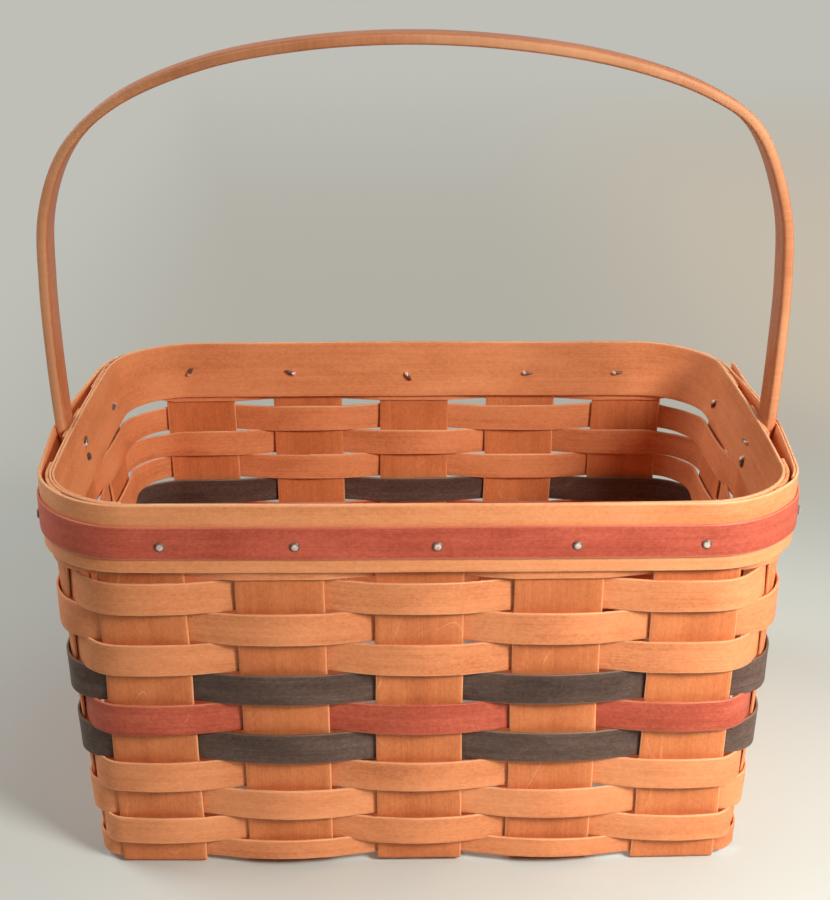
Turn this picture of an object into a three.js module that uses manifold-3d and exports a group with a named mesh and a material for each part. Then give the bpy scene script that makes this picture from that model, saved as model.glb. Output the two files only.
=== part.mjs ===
// Rectangular basket woven from flat wood splint, with one fixed bentwood handle.
// Millimetres, +Z up. The origin is the middle of the bottom, where the basket stands.
// The long front faces -Y, and the handle stands over the two ends, at -X and +X.

import * as THREE from "three";
import Module from "manifold-3d";
import { mergeVertices } from "three/addons/utils/BufferGeometryUtils.js";

const wasm = await Module();
wasm.setup();

// Walls, measured over the outer faces of the upright splints
const HEIGHT = 165;
const BASE_LENGTH = 264;
const RIM_LENGTH = 298;
const BASE_DEPTH = 203;
const RIM_DEPTH = 200;
const BASE_CORNER_RADIUS = 8;
const RIM_CORNER_RADIUS = 38;
const END_BOW = 3;
const LONG_WALL_BOW = 1.5;
const BELLY = 1.5;

// Splints that cross the bottom and turn up as the stakes of the walls. The margins are what
// each wall has left beyond its outer stakes.
const LONG_COUNT = 5;
const END_COUNT = 3;
const SPLINT_WIDTH = 35;
const SPLINT_THICKNESS = 1.4;
const LONG_MARGIN_BASE = 7.7;
const LONG_MARGIN_RIM = 21.7;
const END_MARGIN_BASE = 18;
const END_MARGIN_RIM = 19.5;
const END_MIDDLE_Y = -9;
const BEND_RADIUS = 1.5;
const SPLINT_END_BELOW_RIM = 1.5;

// Weavers that run round the walls
const WEAVER_HEIGHT = 13.2;
const WEAVER_THICKNESS = 1.2;
const LONG_WALL_BULGE = 2.3;
const END_BULGE = 0.6;
const WEAVER_SAG = 0.5;
const TOP_WEAVER_HEIGHT = 9;
const TOP_WEAVER_SHOWS = 3.95;
const NARROW_ROWS_SPACE = 20.3;
const LOWEST_ROW_SHARE = 0.42;

// Rim bands and the red strip
const OUTER_BAND_HEIGHT = 27.5;
const INNER_BAND_HEIGHT = 27.7;
const BAND_THICKNESS = 1.7;
const STRIP_HEIGHT = 13.2;
const STRIP_BELOW_RIM = 8.4;
const STRIP_THICKNESS = 1.2;

// Handle, with the places that its middle line is bent through between the two legs: x and the
// height above the rim, from the right over to the left
const HANDLE_BENDS = [
  [155.5, 30], [155.7, 62], [152.6, 93], [138.2, 127], [118, 140.8], [85.6, 152], [45.2, 159.2],
  [0, 162.2],
  [-45.2, 159.8], [-85.6, 152.4], [-121.6, 137.6], [-142, 119.4], [-153.2, 93], [-155.7, 62],
  [-155.5, 30],
];
const HANDLE_WIDTH = 16;
const HANDLE_THICKNESS = 4.2;
const HANDLE_TIP_THICKNESS = 2.4;
const HANDLE_TIP_ABOVE_BAND = 1;
const HANDLE_EDGE_ROUND = 1.4;
const BAND_SWELL_REACH = 60;

// Tacks, with how far each one of a long wall was driven off the middle of its stake, onward
// round the basket
const TACK_HEAD_RADIUS = 2;
const TACK_HEAD_HEIGHT = 0.8;
const TACK_SHANK_RADIUS = 0.7;
const TACK_CLINCH_LENGTH = 3;
const FRONT_TACK_DRIFT = [10, 7, 7, 6, 1];
const BACK_TACK_DRIFT = [8, -1, 4, 6, 5];
const HANDLE_TACK_SPREAD = 3.5;
const TACKS_BELOW_STRIP_MIDDLE = 1.2;

// Clearances between pieces that touch
const GAP = 0.3;
const WEAVE_GAP = 0.35;
const FLOOR_GAP = 0.4;
const LAP_GAP = 0.3;

// Stakes are numbered round the basket from the left of the front: 0-4 front, 5-7 right end,
// 8-12 back, 13-15 left end.
const STAKE_COUNT = 2 * (LONG_COUNT + END_COUNT);
const LONG_MIDDLE = (LONG_COUNT - 1) / 2;
const END_MIDDLE = (END_COUNT - 1) / 2;
const FIRST_RIGHT = LONG_COUNT;
const FIRST_BACK = FIRST_RIGHT + END_COUNT;
const FIRST_LEFT = FIRST_BACK + LONG_COUNT;
const HANDLE_STAKES = [FIRST_RIGHT + END_MIDDLE, FIRST_LEFT + END_MIDDLE];
const CORNERS_AFTER = [FIRST_RIGHT - 1, FIRST_BACK - 1, FIRST_LEFT - 1, STAKE_COUNT - 1];

const mix = (from, to, share) => from + (to - from) * share;
const clamp = (value, low, high) => Math.min(Math.max(value, low), high);
const smooth = (share) => share * share * (3 - 2 * share);
const isOdd = (n) => Math.abs(n) % 2 === 1;

// The outline of the walls at one height: points round it, with their outward normals and the
// distance along it, from the middle of the front towards +X.
const ARC_STEPS = 12;
const SIDE_STEPS = 12;
const outlines = new Map();

function outlineAt(z) {
  const key = z.toFixed(3);
  if (!outlines.has(key)) outlines.set(key, makeOutline(z));
  return outlines.get(key);
}

function makeOutline(z) {
  const up = clamp(z / HEIGHT, 0, 1);
  const belly = BELLY * Math.sin(Math.PI * up);
  const a = mix(BASE_LENGTH, RIM_LENGTH, up) / 2 + belly;
  const b = mix(BASE_DEPTH, RIM_DEPTH, up) / 2 + belly / 2;
  const r = mix(BASE_CORNER_RADIUS, RIM_CORNER_RADIUS, up);
  const corners = [
    [a - r, r - b, -90],
    [a - r, b - r, 0],
    [r - a, b - r, 90],
    [r - a, r - b, 180],
  ];
  const loop = [new THREE.Vector2(0, -b)];
  const lineTo = (x, y) => {
    const start = loop[loop.length - 1];
    for (let i = 1; i <= SIDE_STEPS; i++) {
      loop.push(new THREE.Vector2(mix(start.x, x, i / SIDE_STEPS), mix(start.y, y, i / SIDE_STEPS)));
    }
  };
  for (const [x, y, startAngle] of corners) {
    const first = THREE.MathUtils.degToRad(startAngle);
    lineTo(x + r * Math.cos(first), y + r * Math.sin(first));
    for (let i = 1; i <= ARC_STEPS; i++) {
      const angle = first + ((Math.PI / 2) * i) / ARC_STEPS;
      loop.push(new THREE.Vector2(x + r * Math.cos(angle), y + r * Math.sin(angle)));
    }
  }
  lineTo(0, -b);
  loop.pop();
  for (const p of loop) {
    const swellX = END_BOW * up * (1 - (p.y / b) ** 2) * (p.x / a);
    const swellY = LONG_WALL_BOW * (1 - (p.x / a) ** 2) * (p.y / b);
    p.set(p.x + swellX, p.y + swellY);
  }
  const count = loop.length;
  const normals = loop.map((p, i) => {
    const t = loop[(i + 1) % count].clone().sub(loop[(i + count - 1) % count]).normalize();
    return new THREE.Vector2(t.y, -t.x);
  });
  const distances = [0];
  for (let i = 1; i <= count; i++) {
    distances.push(distances[i - 1] + loop[i % count].distanceTo(loop[i - 1]));
  }
  const length = distances[count];
  return { loop, normals, distances, length, centres: stakeCentres(z, length) };
}

const pitchOf = (wall, margin, count) => (wall - SPLINT_WIDTH - 2 * margin) / (count - 1);
const LONG_PITCH = pitchOf(BASE_LENGTH, LONG_MARGIN_BASE, LONG_COUNT);
const LONG_PITCH_RIM = pitchOf(RIM_LENGTH, LONG_MARGIN_RIM, LONG_COUNT);
const END_PITCH = pitchOf(BASE_DEPTH, END_MARGIN_BASE, END_COUNT);
const END_PITCH_RIM = pitchOf(RIM_DEPTH, END_MARGIN_RIM, END_COUNT);

// Where the middle of each stake lies along the outline
function stakeCentres(z, length) {
  const up = clamp(z / HEIGHT, 0, 1);
  const longPitch = mix(LONG_PITCH, LONG_PITCH_RIM, up);
  const endPitch = mix(END_PITCH, END_PITCH_RIM, up);
  const centres = [];
  for (let i = 0; i < LONG_COUNT; i++) centres.push((i - LONG_MIDDLE) * longPitch);
  for (let i = 0; i < END_COUNT; i++) {
    centres.push(length / 4 + END_MIDDLE_Y + (i - END_MIDDLE) * endPitch);
  }
  for (let i = 0; i < LONG_COUNT; i++) centres.push(length / 2 + (i - LONG_MIDDLE) * longPitch);
  for (let i = 0; i < END_COUNT; i++) {
    centres.push((3 * length) / 4 - END_MIDDLE_Y + (i - END_MIDDLE) * endPitch);
  }
  return centres;
}

// A station is a place along the wall that keeps its meaning at every height: on stake n at
// across -1..1 of its half width, or a share of the way from stake n to the next one.
function distanceOf(station, outline) {
  const { centres, length } = outline;
  if (station.between === undefined) return centres[station.n] + (station.across * SPLINT_WIDTH) / 2;
  const next = (station.n + 1) % STAKE_COUNT;
  const from = centres[station.n] + SPLINT_WIDTH / 2;
  const to = centres[next] - SPLINT_WIDTH / 2 + (next === 0 ? length : 0);
  return mix(from, to, station.between);
}

// The outline's point and outward normal at a distance along it
function outlinePoint(outline, distance) {
  const { loop, normals, distances, length } = outline;
  const s = ((distance % length) + length) % length;
  let low = 0;
  let high = loop.length;
  while (high - low > 1) {
    const middle = (low + high) >> 1;
    if (distances[middle] <= s) low = middle;
    else high = middle;
  }
  const share = (s - distances[low]) / (distances[high] - distances[low]);
  const next = high % loop.length;
  const point = loop[low].clone().lerp(loop[next], share);
  const normal = normals[low].clone().lerp(normals[next], share).normalize();
  return { point, normal };
}

// A point at height z, at a station of the wall, that far out from the stakes' outer faces
function place(z, station, out) {
  const outline = outlineAt(z);
  const { point, normal } = outlinePoint(outline, distanceOf(station, outline));
  return new THREE.Vector3(point.x + normal.x * out, point.y + normal.y * out, z);
}

// Every piece of the walls bends at the same columns of each stake, which are its two edges and
// the handle's width at its middle, and at CORNER_SHARES between two walls.
const HANDLE_COLUMN = (HANDLE_WIDTH + 2 * GAP) / SPLINT_WIDTH;
const COLUMNS = [-1, -HANDLE_COLUMN, HANDLE_COLUMN, 1];
const CORNER_SHARES = [0.25, 0.5, 0.75];
const stationsRound = [];
for (let n = 0; n < STAKE_COUNT; n++) {
  for (const across of COLUMNS) stationsRound.push({ n, across });
  if (CORNERS_AFTER.includes(n)) {
    for (const between of CORNER_SHARES) stationsRound.push({ n, between });
  }
}
const stationAt = (n, column) => (
  stationsRound.findIndex((station) => station.n === n && station.across === COLUMNS[column])
);

// A closed solid through cross-sections that each list their points once round. Point i lies
// opposite point (last - i): the two ends are closed across those pairs, and the faces on either
// side are split along the same diagonals.
function sweep(sections) {
  const around = sections[0].length;
  const triangles = [];
  for (let s = 0; s + 1 < sections.length; s++) {
    for (let i = 0; i < around; i++) {
      const j = (i + 1) % around;
      const a = s * around + i;
      const b = s * around + j;
      if (i < around / 2) triangles.push(a, b, b + around, a, b + around, a + around);
      else triangles.push(a, b, a + around, b, b + around, a + around);
    }
  }
  const last = (sections.length - 1) * around;
  for (let i = 0; i + 1 < around / 2; i++) {
    const [a, b, c, d] = [i, i + 1, around - 2 - i, around - 1 - i];
    triangles.push(a, c, b, a, d, c);
    triangles.push(last + a, last + b, last + c, last + a, last + c, last + d);
  }
  const geometry = new THREE.BufferGeometry().setFromPoints(sections.flat());
  geometry.setIndex(signedVolume(geometry, triangles) > 0 ? triangles : triangles.reverse());
  return geometry;
}

function signedVolume(geometry, triangles) {
  const position = geometry.getAttribute("position");
  const [a, b, c] = [new THREE.Vector3(), new THREE.Vector3(), new THREE.Vector3()];
  let volume = 0;
  for (let i = 0; i < triangles.length; i += 3) {
    a.fromBufferAttribute(position, triangles[i]);
    b.fromBufferAttribute(position, triangles[i + 1]);
    c.fromBufferAttribute(position, triangles[i + 2]);
    volume += a.dot(b.cross(c)) / 6;
  }
  return volume;
}

// A hoop made of one flat strip. levels(station) lists the heights of its inner face from the
// top down, each with how far out it lies. The strip's two ends are thinned, and lie one over
// the other from the station lap to the next one.
function hoop(lap, thickness, levels) {
  const count = stationsRound.length;
  const thinned = (thickness - LAP_GAP) / 2;
  const section = (step, low, high) => {
    const station = stationsRound[(lap + step) % count];
    const face = (depth) => levels(station).map(([z, inner]) => place(z, station, inner + depth));
    return [...face(high), ...face(low).reverse()];
  };
  const sections = [section(0, 0, thinned), section(1, 0, thinned)];
  for (let step = 2; step < count; step++) sections.push(section(step, 0, thickness));
  sections.push(section(0, thickness - thinned, thickness), section(1, thickness - thinned, thickness));
  return sweep(sections);
}

// Splints: the woven bottom lies in two layers round FLOOR_MIDDLE, with its underside at z = 0
const LAYER_OFFSET = (SPLINT_THICKNESS + FLOOR_GAP) / 2;
const FLOOR_MIDDLE = LAYER_OFFSET + SPLINT_THICKNESS / 2;
const FLOOR_TOP = 2 * FLOOR_MIDDLE;
const WALL_STEPS = 6;
const BEND_STEPS = 3;

// +1 over the crossings that a strip passes above, -1 where it passes below, by the position
// along it in pitches. It is flat over each crossing.
function overUnder(position, reach) {
  const swing = 2 * Math.cos(Math.PI * clamp(position, -reach, reach));
  return Math.sin((Math.PI / 2) * clamp(swing, -1, 1));
}

function longLevel(k, y) {
  const over = overUnder((y - END_MIDDLE_Y) / END_PITCH, END_MIDDLE);
  return FLOOR_MIDDLE + LAYER_OFFSET * over * (isOdd(k) ? -1 : 1);
}

function crossLevel(j, x) {
  const over = overUnder(x / LONG_PITCH, LONG_MIDDLE);
  return FLOOR_MIDDLE - LAYER_OFFSET * over * (isOdd(j) ? -1 : 1);
}

// One section of a splint: its outer face across the width, then its inner face back again
const splintSection = (outer, inner) => [...outer, ...inner.reverse()];

// From the top of a wall down to the end of its bend into the bottom. flip turns the columns
// round, so that both walls of a splint keep the same order.
function splintWall(n, level, flip) {
  const bendTop = level + SPLINT_THICKNESS / 2 + BEND_RADIUS;
  const stations = COLUMNS.map((across) => ({ n, across: flip ? -across : across }));
  const sections = [];
  for (let i = 0; i <= WALL_STEPS; i++) {
    const z = mix(HEIGHT - SPLINT_END_BELOW_RIM, bendTop, i / WALL_STEPS);
    sections.push(
      splintSection(
        stations.map((s) => place(z, s, 0)),
        stations.map((s) => place(z, s, -SPLINT_THICKNESS)),
      ),
    );
  }
  for (let i = 1; i <= BEND_STEPS; i++) {
    const turn = ((Math.PI / 2) * i) / BEND_STEPS;
    const onBend = (radius) => (s) => {
      const inward = radius * Math.cos(turn) - BEND_RADIUS - SPLINT_THICKNESS;
      return place(bendTop, s, inward).setZ(bendTop - radius * Math.sin(turn));
    };
    sections.push(
      splintSection(
        stations.map(onBend(BEND_RADIUS + SPLINT_THICKNESS)),
        stations.map(onBend(BEND_RADIUS)),
      ),
    );
  }
  return sections;
}

// Places along the bottom where a strip needs a section: both edges of each crossing, and half
// way between two crossings.
function floorStops(count, middle, pitch) {
  const stops = [];
  for (let i = 0; i < count; i++) {
    const at = middle + (i - (count - 1) / 2) * pitch;
    stops.push(at - SPLINT_WIDTH / 2, at + SPLINT_WIDTH / 2);
    if (i + 1 < count) stops.push(at + pitch / 2);
  }
  return stops;
}

function longSplint(k) {
  const front = LONG_MIDDLE + k;
  const back = FIRST_BACK + LONG_MIDDLE - k;
  const floor = floorStops(END_COUNT, END_MIDDLE_Y, END_PITCH).map((y) => {
    const face = (side) => COLUMNS.map(
      (across) => new THREE.Vector3(
        k * LONG_PITCH + (across * SPLINT_WIDTH) / 2,
        y,
        longLevel(k, y) + (side * SPLINT_THICKNESS) / 2,
      ),
    );
    return splintSection(face(-1), face(1));
  });
  return sweep([
    ...splintWall(front, longLevel(k, -BASE_DEPTH / 2), false),
    ...floor,
    ...splintWall(back, longLevel(k, BASE_DEPTH / 2), true).reverse(),
  ]);
}

function crossSplint(j) {
  const right = FIRST_RIGHT + END_MIDDLE + j;
  const left = FIRST_LEFT + END_MIDDLE - j;
  const floor = floorStops(LONG_COUNT, 0, LONG_PITCH).map((x) => {
    const face = (side) => COLUMNS.map(
      (across) => new THREE.Vector3(
        x,
        END_MIDDLE_Y + j * END_PITCH + (across * SPLINT_WIDTH) / 2,
        crossLevel(j, x) + (side * SPLINT_THICKNESS) / 2,
      ),
    );
    return splintSection(face(-1), face(1));
  });
  return sweep([
    ...splintWall(left, crossLevel(j, -BASE_LENGTH / 2), true),
    ...floor,
    ...splintWall(right, crossLevel(j, BASE_LENGTH / 2), false).reverse(),
  ]);
}

// Weavers. Row 0 is the top one; odd rows pass outside the even stakes, and even rows the odd.
const OUTER_BAND_BOTTOM = HEIGHT - OUTER_BAND_HEIGHT;
const INNER_BAND_BOTTOM = HEIGHT - INNER_BAND_HEIGHT;
const TOP_WEAVER_BOTTOM = Math.min(OUTER_BAND_BOTTOM, INNER_BAND_BOTTOM) - TOP_WEAVER_SHOWS;
const TOP_WEAVER_TOP = TOP_WEAVER_BOTTOM + TOP_WEAVER_HEIGHT;
const LOWEST_WEAVER_BOTTOM = FLOOR_TOP + 2 * GAP;
const ROW_PITCH = WEAVER_HEIGHT + WEAVE_GAP;
const STAKE_TO_WEAVER = (SPLINT_THICKNESS + WEAVER_THICKNESS) / 2 + WEAVE_GAP;

function weaverRows() {
  const space = TOP_WEAVER_BOTTOM - LOWEST_WEAVER_BOTTOM;
  const wholeRows = Math.max(1, Math.round((space - NARROW_ROWS_SPACE) / ROW_PITCH));
  const narrow = space - wholeRows * ROW_PITCH - 2 * WEAVE_GAP;
  const heights = Array(wholeRows).fill(WEAVER_HEIGHT);
  heights.push(narrow * (1 - LOWEST_ROW_SHARE), narrow * LOWEST_ROW_SHARE);
  const rows = [{ name: "weaver_top", top: TOP_WEAVER_TOP, bottom: TOP_WEAVER_BOTTOM, bows: false }];
  for (const height of heights) {
    const row = rows.length;
    const top = rows[row - 1].bottom - WEAVE_GAP;
    const name = row === heights.length ? "weaver_bottom" : `weaver_${row}`;
    rows.push({ name, top, bottom: top - height, bows: true });
  }
  return rows;
}

// How far a weaver that bows stands off the middle of stake n
function bulgeOver(n) {
  const onEnd = (n >= FIRST_RIGHT && n < FIRST_BACK) || n >= FIRST_LEFT;
  return onEnd ? END_BULGE : LONG_WALL_BULGE;
}

// How far a weaver's middle lies outside the middle of the stakes, at a station
function weaveOffset(row, bows, station) {
  const side = isOdd(row) === isOdd(station.n) ? -1 : 1;
  if (station.between !== undefined) return side * STAKE_TO_WEAVER * (1 - 2 * station.between);
  const bulge = bows ? bulgeOver(station.n) * Math.cos((station.across * Math.PI) / 2) : 0;
  return side * (STAKE_TO_WEAVER + bulge);
}

function weaver(row, { top, bottom, bows }) {
  const lap = stationAt(FIRST_BACK + (row % LONG_COUNT), 1);
  return hoop(lap, WEAVER_THICKNESS, (station) => {
    const offset = weaveOffset(row, bows, station);
    const drop = bows ? (WEAVER_SAG * offset) / (STAKE_TO_WEAVER + LONG_WALL_BULGE) : 0;
    const inner = offset - (SPLINT_THICKNESS + WEAVER_THICKNESS) / 2;
    return [[top - drop, inner], [bottom - drop, inner]];
  });
}

// Rim: each band leans out below, to pass over the top weaver, and the outer one swells to let
// the handle in.
const TOP_WEAVER_STANDS_OUT = WEAVER_THICKNESS + WEAVE_GAP;
const BAND_LEAN = (TOP_WEAVER_STANDS_OUT + GAP / 2) / (HEIGHT - TOP_WEAVER_TOP);
const bandClearance = (z) => GAP + BAND_LEAN * (HEIGHT - z);
const HANDLE_TIP_Z = OUTER_BAND_BOTTOM + HANDLE_TIP_ABOVE_BAND;

const handleThicknessAt = (z) => mix(
  HANDLE_TIP_THICKNESS,
  HANDLE_THICKNESS,
  clamp((z - HANDLE_TIP_Z) / (HEIGHT - HANDLE_TIP_Z), 0, 1),
);

// 1 where the outer band rides over the handle, falling to 0 at BAND_SWELL_REACH from it
function handleSwell(z, station) {
  const outline = outlineAt(z);
  const s = distanceOf(station, outline);
  const away = Math.min(...HANDLE_STAKES.map((n) => Math.abs(s - outline.centres[n])));
  const plateau = HANDLE_WIDTH / 2 + GAP;
  return 1 - smooth(clamp((away - plateau) / (BAND_SWELL_REACH - plateau), 0, 1));
}

// The outer band is straight from its bottom edge to its top edge
function outerBandInside(z, station) {
  const [low, high] = [OUTER_BAND_BOTTOM, HEIGHT].map((edge) => {
    const clear = bandClearance(edge);
    const overHandle = handleThicknessAt(edge) + 2 * GAP;
    return mix(clear, Math.max(clear, overHandle), handleSwell(edge, station));
  });
  return mix(low, high, (z - OUTER_BAND_BOTTOM) / OUTER_BAND_HEIGHT);
}

const innerBandInside = (z) => -SPLINT_THICKNESS - bandClearance(z) - BAND_THICKNESS;
const stripInside = (z, station) => outerBandInside(z, station) + BAND_THICKNESS + GAP;
const STRIP_TOP = HEIGHT - STRIP_BELOW_RIM;
const STRIP_BOTTOM = STRIP_TOP - STRIP_HEIGHT;

const bandHoop = (lap, thickness, heights, inside) => (
  hoop(lap, thickness, (station) => heights.map((z) => [z, inside(z, station)]))
);
const outerBand = () => bandHoop(
  stationAt(FIRST_BACK - 1, 0),
  BAND_THICKNESS,
  [HEIGHT, STRIP_TOP, STRIP_BOTTOM, OUTER_BAND_BOTTOM],
  outerBandInside,
);
const innerBand = () => bandHoop(
  stationAt(FIRST_LEFT, 1),
  BAND_THICKNESS,
  [HEIGHT, INNER_BAND_BOTTOM],
  innerBandInside,
);
const redStrip = () => bandHoop(
  stationAt(FIRST_BACK + 1, 2),
  STRIP_THICKNESS,
  [STRIP_TOP, STRIP_BOTTOM],
  stripInside,
);

// Handle: two tapered legs against the middle end stakes, and the arch that is bent between them
const LEG_STEPS = 4;
const ARCH_STEPS = 64;

// A leg's middle line from its tip up to the rim, with its thickness
function handleLeg(n) {
  return Array.from({ length: LEG_STEPS + 1 }, (_, i) => {
    const z = mix(HANDLE_TIP_Z, HEIGHT, i / LEG_STEPS);
    const thickness = handleThicknessAt(z);
    return { x: place(z, { n, across: 0 }, GAP + thickness / 2).x, z, thickness };
  });
}

function handle() {
  const [right, left] = HANDLE_STAKES.map(handleLeg);
  const bends = [
    [right[LEG_STEPS].x, 0],
    ...HANDLE_BENDS,
    [left[LEG_STEPS].x, 0],
  ].map(([x, rise]) => new THREE.Vector3(x, 0, HEIGHT + rise));
  const arch = new THREE.CatmullRomCurve3(bends).getSpacedPoints(ARCH_STEPS).slice(1, -1);
  const line = [
    ...right,
    ...arch.map(({ x, z }) => ({ x, z, thickness: HANDLE_THICKNESS })),
    ...left.reverse(),
  ];
  const half = HANDLE_WIDTH / 2;
  const sections = line.map((p, i) => {
    const before = line[Math.max(i - 1, 0)];
    const after = line[Math.min(i + 1, line.length - 1)];
    const along = new THREE.Vector2(after.x - before.x, after.z - before.z).normalize();
    const outward = new THREE.Vector2(along.y, -along.x);
    const edge = Math.min(HANDLE_EDGE_ROUND, p.thickness / 2 - 0.2);
    const profile = [
      [-half, p.thickness / 2 - edge],
      [edge - half, p.thickness / 2],
      [half - edge, p.thickness / 2],
      [half, p.thickness / 2 - edge],
      [half, edge / 2 - p.thickness / 2],
      [half - edge / 2, -p.thickness / 2],
      [edge / 2 - half, -p.thickness / 2],
      [-half, edge / 2 - p.thickness / 2],
    ];
    return profile.map(([across, out]) => new THREE.Vector3(
      p.x + outward.x * out,
      END_MIDDLE_Y + across,
      p.z + outward.y * out,
    ));
  });
  return sweep(sections);
}

// Tacks: driven in from outside through strip, band, stake and inner band, and turned up inside
const TACK_Z = STRIP_TOP - STRIP_HEIGHT / 2 - TACKS_BELOW_STRIP_MIDDLE;
const TACK_SIDES = 8;
const HOLE_SIDES = 6;

function tackPlaces() {
  const places = [];
  const add = (name, n, drift, z) => places.push({ name, n, drift, z });
  FRONT_TACK_DRIFT.forEach((drift, i) => add(`tack_front_${i + 1}`, i, drift, TACK_Z));
  BACK_TACK_DRIFT.forEach((drift, i) => add(`tack_back_${i + 1}`, FIRST_BACK + i, drift, TACK_Z));
  for (const [side, first] of [["right", FIRST_RIGHT], ["left", FIRST_LEFT]]) {
    add(`tack_${side}_1`, first, 0, TACK_Z);
    add(`tack_${side}_2`, first + END_MIDDLE, 0, TACK_Z + HANDLE_TACK_SPREAD);
    add(`tack_${side}_3`, first + END_MIDDLE, 0, TACK_Z - HANDLE_TACK_SPREAD);
    add(`tack_${side}_4`, first + END_COUNT - 1, 0, TACK_Z);
  }
  return places;
}

// The tack's own frame: Y out of the wall, Z up, with its origin on the red strip's outer face
function tackFrame({ n, drift, z }) {
  const across = (2 * drift) / SPLINT_WIDTH;
  const column = clamp(COLUMNS.findIndex((edge) => edge > across), 1, COLUMNS.length - 1);
  const edges = [COLUMNS[column - 1], COLUMNS[column]];
  const outFace = (edge) => stripInside(z, { n, across: edge }) + STRIP_THICKNESS;
  const [from, to] = edges.map((edge) => place(z, { n, across: edge }, outFace(edge)));
  const along = to.clone().sub(from).normalize();
  const up = new THREE.Vector3(0, 0, 1);
  const out = along.clone().cross(up);
  const matrix = new THREE.Matrix4().makeBasis(along.negate(), out, up);
  matrix.setPosition(from.lerp(to, (across - edges[0]) / (edges[1] - edges[0])));
  return { matrix, depth: outFace(across) - innerBandInside(z) };
}

function tackGeometry(depth) {
  const end = depth + GAP + 2 * TACK_SHANK_RADIUS;
  const profile = [
    [0, -end],
    [TACK_SHANK_RADIUS, -end],
    [TACK_SHANK_RADIUS, GAP],
    [TACK_HEAD_RADIUS, GAP],
    [TACK_HEAD_RADIUS, GAP + TACK_HEAD_HEIGHT / 2],
    [TACK_HEAD_RADIUS * 0.6, GAP + TACK_HEAD_HEIGHT],
    [0, GAP + TACK_HEAD_HEIGHT],
  ].map(([r, y]) => new THREE.Vector2(r, y));
  const nail = new THREE.LatheGeometry(profile, TACK_SIDES);
  const clinch = new THREE.BoxGeometry(TACK_SHANK_RADIUS * 1.6, TACK_SHANK_RADIUS, TACK_CLINCH_LENGTH);
  clinch.translate(0, -end + TACK_SHANK_RADIUS, TACK_CLINCH_LENGTH / 2);
  return geometryOf(solidOf(nail).add(solidOf(clinch)));
}

function tackHole({ matrix, depth }) {
  const length = depth + 4 * TACK_HEAD_RADIUS;
  const hole = new THREE.CylinderGeometry(
    TACK_SHANK_RADIUS + GAP, TACK_SHANK_RADIUS + GAP, length, HOLE_SIDES,
  );
  hole.translate(0, -depth / 2, 0);
  hole.applyMatrix4(matrix);
  return solidOf(hole);
}

// Solids for joining and cutting
function solidOf(geometry) {
  const bare = new THREE.BufferGeometry().setAttribute("position", geometry.getAttribute("position"));
  bare.setIndex(geometry.index);
  const merged = mergeVertices(bare, 1e-4);
  return new wasm.Manifold(
    new wasm.Mesh({
      numProp: 3,
      vertProperties: new Float32Array(merged.getAttribute("position").array),
      triVerts: new Uint32Array(merged.index.array),
    }),
  );
}

function geometryOf(solid) {
  const mesh = solid.getMesh();
  const geometry = new THREE.BufferGeometry();
  geometry.setAttribute("position", new THREE.BufferAttribute(new Float32Array(mesh.vertProperties), 3));
  geometry.setIndex(new THREE.BufferAttribute(new Uint32Array(mesh.triVerts), 1));
  return geometry;
}

// Finishes
const finish = (color, roughness, metalness = 0) => () => (
  new THREE.MeshStandardMaterial({ color, roughness, metalness })
);
const naturalSplint = finish(0xcf8f5a, 0.55);
const charcoalSplint = finish(0x45393a, 0.6);
const redSplint = finish(0xa8483a, 0.6);
const rimWood = finish(0xd19560, 0.5);
const redStripWood = finish(0xa54b41, 0.6);
const handleWood = finish(0xcd8c58, 0.45);
const tackMetal = finish(0x9a8f86, 0.45, 0.9);
const ROW_FINISHES = new Map([[4, charcoalSplint], [5, redSplint], [6, charcoalSplint]]);

const basket = new THREE.Group();
const pieces = new Map();

function addPiece(name, geometry, material) {
  const mesh = new THREE.Mesh(geometry, material());
  mesh.name = name;
  basket.add(mesh);
  pieces.set(name, mesh);
  return mesh;
}

const longName = (k) => `long_splint_${k + LONG_MIDDLE + 1}`;
const crossName = (j) => `cross_splint_${j + END_MIDDLE + 1}`;

for (let i = 0; i < LONG_COUNT; i++) {
  addPiece(longName(i - LONG_MIDDLE), longSplint(i - LONG_MIDDLE), naturalSplint);
}
for (let i = 0; i < END_COUNT; i++) {
  addPiece(crossName(i - END_MIDDLE), crossSplint(i - END_MIDDLE), naturalSplint);
}
weaverRows().forEach((rowSize, row) => {
  addPiece(rowSize.name, weaver(row, rowSize), ROW_FINISHES.get(row) ?? naturalSplint);
});
addPiece("inner_rim_band", innerBand(), rimWood);
addPiece("outer_rim_band", outerBand(), rimWood);
addPiece("red_rim_strip", redStrip(), redStripWood);
addPiece("handle", handle(), handleWood);

// The splint that stands as stake n
function splintOfStake(n) {
  if (n < FIRST_RIGHT) return longName(n - LONG_MIDDLE);
  if (n < FIRST_BACK) return crossName(n - FIRST_RIGHT - END_MIDDLE);
  if (n < FIRST_LEFT) return longName(LONG_MIDDLE - (n - FIRST_BACK));
  return crossName(END_MIDDLE - (n - FIRST_LEFT));
}

for (const tack of tackPlaces()) {
  const frame = tackFrame(tack);
  const mesh = addPiece(tack.name, tackGeometry(frame.depth), tackMetal);
  frame.matrix.decompose(mesh.position, mesh.quaternion, mesh.scale);
  const hole = tackHole(frame);
  const pierced = ["inner_rim_band", "outer_rim_band", "red_rim_strip", splintOfStake(tack.n)];
  if (HANDLE_STAKES.includes(tack.n)) pierced.push("handle");
  for (const name of pierced) {
    const piece = pieces.get(name);
    piece.geometry = geometryOf(solidOf(piece.geometry).subtract(hole));
  }
}

export default basket;
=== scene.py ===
# Looks of the woven splint basket: strips laid along the routes of the weave, their stained and
# dyed finishes, and a plain studio. Lengths are in millimetres, meshes and studio in metres.
import itertools
import math
from collections import namedtuple
from functools import partial

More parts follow.
